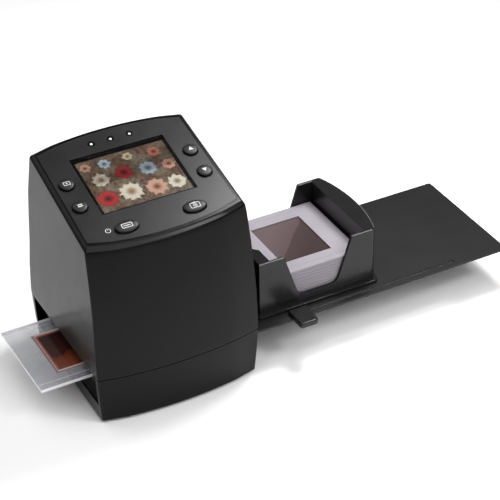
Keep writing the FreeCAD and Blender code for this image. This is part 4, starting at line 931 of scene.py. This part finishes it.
@dataclass
class Mark:
    """A thin raised print on the panel's plane, drawn flat in millimetres and then raised."""

    name: str
    bottom: float
    top: float
    corner_share: float = 1.6
    work: Workpiece = field(init=False)

    def __post_init__(self) -> None:
        """Lay out an empty print."""
        self.work = Workpiece.blank(self.name)

    def bar(self, x: float, y: float, length: float, height: float, corner: float = 0.0) -> None:
        """Draw a filled bar.

        Args:
            x: Its middle across.
            y: Its middle up the slope.
            length: Its size across.
            height: Its size up the slope.
            corner: How much its corners are rounded.
        """
        middle = (x, y, self.bottom)
        bpy.ops.mesh.select_all(action="DESELECT")
        bpy.ops.mesh.primitive_plane_add(size=1.0, location=middle)
        bpy.ops.transform.resize(value=(length, height, 1.0), center_override=middle)
        if corner:
            bpy.ops.mesh.bevel(offset=corner, segments=3, affect="VERTICES")

    def hollow(self, line: float) -> None:
        """Leave only a line of the filled shape just drawn.

        Args:
            line: How wide the line is.
        """
        bpy.ops.mesh.inset(thickness=line)
        bpy.ops.mesh.delete(type="FACE")

    def frame(self, x: float, y: float, length: float, height: float, line: float) -> None:
        """Draw the outline of a rounded bar.

        Args:
            x: Its middle across.
            y: Its middle up the slope.
            length: Its size across.
            height: Its size up the slope.
            line: How wide the outline is.
        """
        self.bar(x, y, length, height, corner=line * self.corner_share)
        self.hollow(line)

    def disc(
        self, x: float, y: float, radius: float, corners: int = 28, turn: float = 0.0
    ) -> None:
        """Draw a filled disc, or a triangle if it has three corners.

        Args:
            x: Its middle across.
            y: Its middle up the slope.
            radius: From its middle to its corners.
            corners: How many corners it has.
            turn: The angle it is turned by.
        """
        bpy.ops.mesh.select_all(action="DESELECT")
        bpy.ops.mesh.primitive_circle_add(
            vertices=corners,
            radius=radius,
            fill_type="NGON",
            location=(x, y, self.bottom),
            rotation=(0.0, 0.0, turn),
        )

    def ring(self, x: float, y: float, radius: float, line: float) -> None:
        """Draw a ring.

        Args:
            x: Its middle across.
            y: Its middle up the slope.
            radius: Its outer radius.
            line: How wide it is.
        """
        self.disc(x, y, radius)
        self.hollow(line)

    def raised(self) -> Workpiece:
        """Raise all that is drawn and lay it on the panel's plane.

        Returns:
            The print.
        """
        bpy.ops.mesh.select_mode(type="FACE")
        bpy.ops.mesh.select_all(action="SELECT")
        lift = {"value": (0.0, 0.0, self.top - self.bottom)}
        bpy.ops.mesh.extrude_region_move(TRANSFORM_OT_translate=lift)
        bpy.ops.mesh.select_all(action="SELECT")
        bpy.ops.mesh.normals_make_consistent(inside=False)
        bpy.ops.object.mode_set(mode="OBJECT")
        self.work.piece.data.transform(PANEL.matrix())
        return self.work


# Sub-assemblies


@dataclass
class Housing:
    """The two shells and the panel plate, smoothly shaded, with the rim rounded."""

    finishes: Finishes
    rim_depth: float = 2.2 * MM
    rim_round: float = 0.55 * MM
    rim_angle: float = math.radians(24)
    rim_slopes: tuple[float, float] = (0.35, 0.93)

    def is_rim_edge(self, edge: bmesh.types.BMEdge) -> bool:
        """Tell the two long edges of the rim's bevel.

        Args:
            edge: An edge of the upper shell.

        Returns:
            True for one of those edges.
        """
        middle = (edge.verts[0].co + edge.verts[1].co) / 2
        if PANEL.height(middle) < -self.rim_depth or len(edge.link_faces) != 2:
            return False
        flattest, steepest = self.rim_slopes
        slopes = [face.normal.dot(PANEL.normal()) for face in edge.link_faces]
        on_bevel = any(flattest < slope < steepest for slope in slopes)
        return on_bevel and edge.calc_face_angle(0.0) > self.rim_angle

    def round_rim(self, work: Workpiece) -> None:
        """Round the rim that frames the panel.

        Args:
            work: The upper shell in the making.
        """
        with work.edited():
            count = work.pick("EDGE", self.is_rim_edge)
            bpy.ops.mesh.bevel(offset=self.rim_round, segments=3, affect="EDGES")
        log.info("rounded %d edges of the rim", count)

    def build(self) -> Iterator[bpy.types.Object]:
        """Build and dress the shells.

        Yields:
            The new pieces.
        """
        for node, slot, finish in (
            ("upper_shell", "housing", Finish.HOUSING),
            ("base_shell", "housing", Finish.HOUSING),
            ("control_panel", "panel", Finish.PANEL),
        ):
            work = Workpiece.copied(node)
            if node == "upper_shell":
                self.round_rim(work)
            work.smoothed()
            self.finishes.dress(work.piece, finish)
            yield work.fixed("housing", slot, node)


class Pictogram(Enum):
    """The signs on the buttons."""

    FLIP = "flip_button"
    MODE = "mode_button"
    UP = "up_button"
    DOWN = "down_button"
    ENTER = "enter_button"
    CAPTURE = "capture_button"


@dataclass
class Buttons:
    """Six domed caps with white pictograms, and the power sign beside them."""

    finishes: Finishes
    cap_top: float = 1.2
    dome: tuple[tuple[float, float], ...] = ((0.7, 0.12), (0.7, 0.08), (0.6, 0.04))
    cap_play: float = 0.02
    print_rise: float = 0.04
    print_root: float = 0.05
    round_x: float = 30.9
    upper_y: float = 36.6
    lower_y: float = 21.8
    oval_x: float = 16.7
    oval_y: float = 3.1
    power_x: float = -25.3
    power_y: float = 4.2
    power_radius: float = 1.3
    power_line: float = 0.26
    power_gap: float = 0.55
    stroke_shift: float = 0.9

    def cap(self, button: Pictogram) -> bpy.types.Object:
        """A cap with a low dome.

        Args:
            button: Which button.

        Returns:
            The cap.
        """
        work = Workpiece.copied(button.value)
        with work.edited():
            level = (self.cap_top - self.cap_play) * MM
            work.pick("FACE", lambda face: PANEL.height(face.calc_center_median()) > level)
            for thickness, rise in self.dome:
                bpy.ops.mesh.inset(thickness=thickness * MM, depth=rise * MM)
        work.smoothed(Workpiece.DOME_SHADE_ANGLE)
        self.finishes.dress(work.piece, Finish.BUTTON)
        return work.fixed(button.value + "_cap", "button", button.value)

    def draw(self, mark: Mark, button: Pictogram) -> None:
        """Draw a button's pictogram.

        Args:
            mark: The print it is drawn in.
            button: Which button.
        """
        left, right = -self.round_x, self.round_x
        if button is Pictogram.FLIP:
            mark.frame(left, self.upper_y, length=3.2, height=2.3, line=0.24)
            mark.disc(left, self.upper_y, radius=0.62, corners=3, turn=-math.pi / 2)
        elif button is Pictogram.MODE:
            for shift in (-0.55, 0.55):
                mark.bar(left, self.lower_y + shift, length=2.4, height=0.5, corner=0.1)
        elif button is Pictogram.UP:
            mark.disc(right, self.upper_y - 0.2, radius=1.35, corners=3)
        elif button is Pictogram.DOWN:
            mark.disc(right, self.lower_y + 0.2, radius=1.35, corners=3, turn=math.pi)
        elif button is Pictogram.ENTER:
            mark.frame(-self.oval_x, self.oval_y, length=5.2, height=2.7, line=0.32)
            mark.bar(-self.oval_x, self.oval_y, length=3.4, height=0.36)
        else:
            middle_y = self.oval_y - 0.1
            mark.frame(self.oval_x, middle_y, length=4.8, height=3.1, line=0.26)
            mark.bar(self.oval_x, self.oval_y + 1.7, length=1.8, height=0.26)
            mark.ring(self.oval_x, middle_y, radius=0.95, line=0.24)
            mark.disc(self.oval_x, middle_y, radius=0.3, corners=12)

    def pictogram(self, button: Pictogram) -> bpy.types.Object:
        """A button's printed pictogram.

        Args:
            button: Which button.

        Returns:
            The print.
        """
        top = self.cap_top + sum(rise for _, rise in self.dome) + self.print_rise
        mark = Mark(button.value + "_print", self.cap_top, top)
        with mark.work.edited():
            self.draw(mark, button)
            work = mark.raised()
        self.finishes.dress(work.piece, Finish.PRINT)
        return work.fixed(button.value + "_cap", "button")

    def power_sign(self) -> bpy.types.Object:
        """The power sign printed on the panel: an open ring with a stroke in its gap.

        Returns:
            The print.
        """
        mark = Mark("power_print", -self.print_root, self.print_rise)
        with mark.work.edited():
            mark.ring(self.power_x, self.power_y, self.power_radius, self.power_line)
            mark.work.pick(
                "FACE",
                lambda face: abs(face.calc_center_median().x - self.power_x) < self.power_gap
                and face.calc_center_median().y > self.power_y,
            )
            bpy.ops.mesh.delete(type="FACE")
            stroke_y = self.power_y + self.stroke_shift
            mark.bar(self.power_x, stroke_y, self.power_line, self.power_radius)
            work = mark.raised()
        self.finishes.dress(work.piece, Finish.PRINT)
        return work.fixed("housing", "panel")

    def build(self) -> Iterator[bpy.types.Object]:
        """Build and dress the caps and prints.

        Yields:
            The new pieces.
        """
        for button in Pictogram:
            yield self.cap(button)
            yield self.pictogram(button)
        yield self.power_sign()


@dataclass
class Indicators:
    """Three light pipes: a bright tip low in each dark well."""

    finishes: Finishes
    places_x: tuple[float, ...] = (-9.6, 0.0, 9.6)
    shift_x: float = -0.25
    place_y: float = 56.9
    radius: float = 0.62
    root: float = 0.05
    wall: float = 0.08
    dome: tuple[tuple[float, float], ...] = ((0.15, 0.06), (0.15, 0.04), (0.15, 0.02))

    def build(self) -> Iterator[bpy.types.Object]:
        """Build and dress the tips.

        Yields:
            The new pieces.
        """
        lenses = bpy.data.objects["indicator_lenses"]
        level = max(PANEL.height(corner.co) for corner in lenses.data.vertices) / MM
        for number, x in enumerate(self.places_x, start=1):
            work = Workpiece.blank(f"indicator_tip_{number}")
            with work.edited():
                bpy.ops.mesh.primitive_circle_add(
                    vertices=24,
                    radius=self.radius,
                    fill_type="NGON",
                    location=(x + self.shift_x, self.place_y, level - self.root),
                )
                lift = {"value": (0.0, 0.0, self.wall)}
                bpy.ops.mesh.extrude_region_move(TRANSFORM_OT_translate=lift)
                for thickness, rise in self.dome:
                    bpy.ops.mesh.inset(thickness=thickness, depth=rise)
                bpy.ops.mesh.select_all(action="SELECT")
                bpy.ops.mesh.normals_make_consistent(inside=False)
            work.piece.data.transform(PANEL.matrix())
            work.smoothed(Workpiece.DOME_SHADE_ANGLE)
            self.finishes.dress(work.piece, Finish.INDICATOR)
            yield work.fixed("housing", "indicator")


@dataclass
class Tray:
    """The slide tray, its magazine and the pusher's tab, with softened edges."""

    finishes: Finishes
    softness: float = 0.35 * MM
    fine_softness: float = 0.15 * MM
    plate_softness: float = 0.08 * MM
    long_edge: float = 1.5 * MM
    long_edge_angle: float = math.radians(50)

    def soften_long_edges(self, work: Workpiece) -> None:
        """Round the long outer edges, where the moulding catches the light.

        Args:
            work: The piece in the making.
        """
        with work.edited():
            work.pick(
                "EDGE",
                lambda edge: edge.is_convex
                and edge.calc_length() > self.long_edge
                and edge.calc_face_angle(0.0) > self.long_edge_angle,
            )
            bpy.ops.mesh.bevel(offset=self.softness, segments=2, affect="EDGES")

    def build(self) -> Iterator[bpy.types.Object]:
        """Build and dress the tray's pieces.

        Yields:
            The new pieces.
        """
        for node, body, slot, finish, softness in (
            ("tray_plate", "tray", "tray", Finish.TRAY, self.plate_softness),
            ("magazine", "tray", "magazine", Finish.MAGAZINE, self.softness),
            ("pusher_tab", "pusher", "tray", Finish.MAGAZINE, self.softness),
            ("slide_mounts", "slide_stack", "slide_mount", Finish.MOUNT, self.fine_softness),
        ):
            work = Workpiece.copied(node)
            if node == "magazine":
                self.soften_long_edges(work)
            else:
                work.rounded(softness)
            work.smoothed()
            self.finishes.dress(work.piece, finish)
            yield work.fixed(body, slot, node)


@dataclass
class FilmHolder:
    """The clear holder: thin plates whose cut edges take a near-white finish with a painted glow,
    a painted highlight along them.
    """

    finishes: Finishes
    softness: float = 0.15 * MM
    edge_slope: float = 0.8

    def build(self) -> Iterator[bpy.types.Object]:
        """Build and dress the two plates.

        Yields:
            The new pieces.
        """
        for node in ("holder_base", "holder_cover"):
            work = Workpiece.copied(node)
            work.rounded(self.softness)
            self.finishes.dress(work.piece, Finish.CLEAR, Finish.PAINTED_EDGE_GLOW)
            # The cut edge faces take the painted highlight and painted glow finish.
            for face in work.piece.data.polygons:
                face.material_index = int(abs(face.normal.z) < self.edge_slope)
            work.smoothed()
            yield work.fixed("film_holder", "clear_plastic", node)


NODES_OF_FINISH = {
    Finish.HOUSING: ("base_shell", "upper_shell"),
    Finish.PANEL: ("control_panel",),
    Finish.WINDOW: ("screen_window",),
    Finish.PICTURE: ("screen_module",),
    Finish.BUTTON: (
        "flip_button",
        "mode_button",
        "up_button",
        "down_button",
        "enter_button",
        "capture_button",
    ),
    Finish.LENS_WELL: ("indicator_lenses",),
    Finish.RUBBER: ("button_pad", "rubber_feet"),
    Finish.BOARD: ("button_board", "backlight_board", "sensor_board", "main_board"),
    Finish.STEEL: (
        "panel_screws",
        "usb_socket",
        "card_socket",
        "board_screws",
        "detent_spring",
        "base_screws",
    ),
    Finish.LAMP: ("backlight_lamps",),
    Finish.WHITE: ("light_box", "diffuser"),
    Finish.INNER: (
        "lower_film_gate",
        "upper_film_guide",
        "camera_bracket",
        "lens_barrel",
        "video_socket",
        "tray_channel",
    ),
    Finish.LENS: ("lens_elements",),
    Finish.FILTER: ("infrared_filter",),
    Finish.SENSOR: ("image_sensor",),
    Finish.RIBBON: ("screen_ribbon", "sensor_ribbon"),
    Finish.TRAY: ("tray_plate", "pusher_blade"),
    Finish.MAGAZINE: ("magazine", "pusher_tab"),
    Finish.MOUNT: ("slide_mounts",),
    Finish.SLIDE_FILM: ("slide_films",),
    Finish.CLEAR: ("holder_base", "holder_cover"),
    Finish.NEGATIVE: ("negative_film",),
}


# Studio


@dataclass(frozen=True)
class SoftBox:
    """A square soft light, in metres and watts."""

    name: str
    place: tuple[float, float, float]
    size: float
    watts: float
    aim: tuple[float, float, float] = (-0.02, 0.0, 0.04)


@dataclass
class Studio:
    """Pale floor, soft lights and the camera of the photograph."""

    gate: Vector = field(default_factory=lambda: Vector((-60.5, 0.29, 0.0)) * MM)
    focal_pixels: float = 1795.32
    frame_pixels: float = 500.0
    azimuth: float = math.radians(-27.231)
    elevation: float = math.radians(34.160)
    roll: float = math.radians(-1.3295)
    gate_pixel: tuple[float, float] = (145.954, 353.936)
    gate_depth: float = 868.732 * MM
    sensor_width: float = 36.0
    clip_start: float = 0.05
    clip_end: float = 20.0
    floor_size: float = 8.0
    floor_clouds: float = 3.0
    floor_roughness: float = 0.9
    room_light: float = 0.14
    soft_boxes: tuple[SoftBox, ...] = (
        SoftBox("back_left_softbox", (-0.35, 0.5, 0.8), 0.8, 2.6),
        SoftBox("overhead_softbox", (-0.1, -0.25, 1.3), 1.0, 6.4),
        SoftBox("edge_softbox", (0.5, -0.68, 0.95), 0.25, 3.4),
        SoftBox("front_fill", (0.15, -1.0, 0.8), 0.9, 6.2),
        SoftBox("panel_glint", (0.15, 0.06, 0.36), 0.12, 1.3, aim=(-0.03, -0.03, 0.095)),
    )

    def place_camera(self) -> None:
        """Put the camera where the photograph was taken from."""
        right = Vector((math.cos(self.azimuth), math.sin(self.azimuth), 0.0))
        back = Vector(
            (
                math.sin(self.azimuth) * math.cos(self.elevation),
                -math.cos(self.azimuth) * math.cos(self.elevation),
                math.sin(self.elevation),
            )
        )
        up = back.cross(right)
        turned_right = math.cos(self.roll) * right + math.sin(self.roll) * up
        turned_up = math.cos(self.roll) * up - math.sin(self.roll) * right
        across = (self.gate_pixel[0] - self.frame_pixels / 2) / self.focal_pixels
        down = (self.gate_pixel[1] - self.frame_pixels / 2) / self.focal_pixels
        place = self.gate - self.gate_depth * (across * turned_right - down * turned_up - back)
        data = bpy.data.cameras.new("photo_camera")
        data.sensor_width = self.sensor_width
        data.lens = self.focal_pixels / self.frame_pixels * data.sensor_width
        data.clip_start = self.clip_start
        data.clip_end = self.clip_end
        camera = bpy.data.objects.new("photo_camera", data)
        bpy.context.scene.collection.objects.link(camera)
        axes = Matrix((turned_right, turned_up, back)).transposed().to_4x4()
        camera.matrix_world = Matrix.Translation(place) @ axes
        bpy.context.scene.camera = camera

    def lay_floor(self) -> None:
        """Lay a pale floor that runs out of view on all sides."""
        bpy.ops.object.select_all(action="DESELECT")
        bpy.ops.mesh.primitive_plane_add(size=self.floor_size)
        floor = bpy.context.object
        floor.name = "floor"
        bench = Bench("pale_floor")
        clouds = bench.noise(self.floor_clouds)
        bench.put("Base Color", bench.mottled(clouds, grey(250), grey(254)))
        bench.constant(Roughness=self.floor_roughness, Specular_IOR_Level=0.0)
        floor.data.materials.append(bench.material)

    def hang_light(self, box: SoftBox) -> None:
        """Hang a soft box.

        Args:
            box: The soft box.
        """
        data = bpy.data.lights.new(box.name, "AREA")
        data.shape = "SQUARE"
        data.size = box.size
        data.energy = box.watts
        light = bpy.data.objects.new(box.name, data)
        bpy.context.scene.collection.objects.link(light)
        place = Vector(box.place)
        turn = (Vector(box.aim) - place).to_track_quat("-Z", "Y").to_matrix().to_4x4()
        light.matrix_world = Matrix.Translation(place) @ turn

    def light_room(self) -> None:
        """Fill the room with soft light and hang the soft boxes."""
        world = bpy.data.worlds.new("studio")
        world.use_nodes = True
        sky = world.node_tree.nodes["Background"]
        sky.inputs["Color"].default_value = (1.0, 1.0, 1.0, 1.0)
        sky.inputs["Strength"].default_value = self.room_light
        bpy.context.scene.world = world
        bpy.context.scene.view_settings.view_transform = "Standard"
        for box in self.soft_boxes:
            self.hang_light(box)


def main() -> None:
    """Dress every solid, add the finer pieces and light the scene."""
    logging.basicConfig(level=logging.INFO, format="%(name)s: %(message)s")
    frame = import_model()
    finishes = Finishes()
    for finish, nodes in NODES_OF_FINISH.items():
        for node in nodes:
            finishes.dress(frame["nodes"][node], finish)
        log.info("dressed %d solids in %s", len(nodes), finish.value.name)
    for assembly in (
        Housing(finishes),
        Buttons(finishes),
        Indicators(finishes),
        Tray(finishes),
        FilmHolder(finishes),
    ):
        for piece in assembly.build():
            log.info("built %s with %d faces", piece.name, len(piece.data.polygons))
    studio = Studio()
    studio.place_camera()
    studio.lay_floor()
    studio.light_room()


if __name__ == "__main__":
    main()
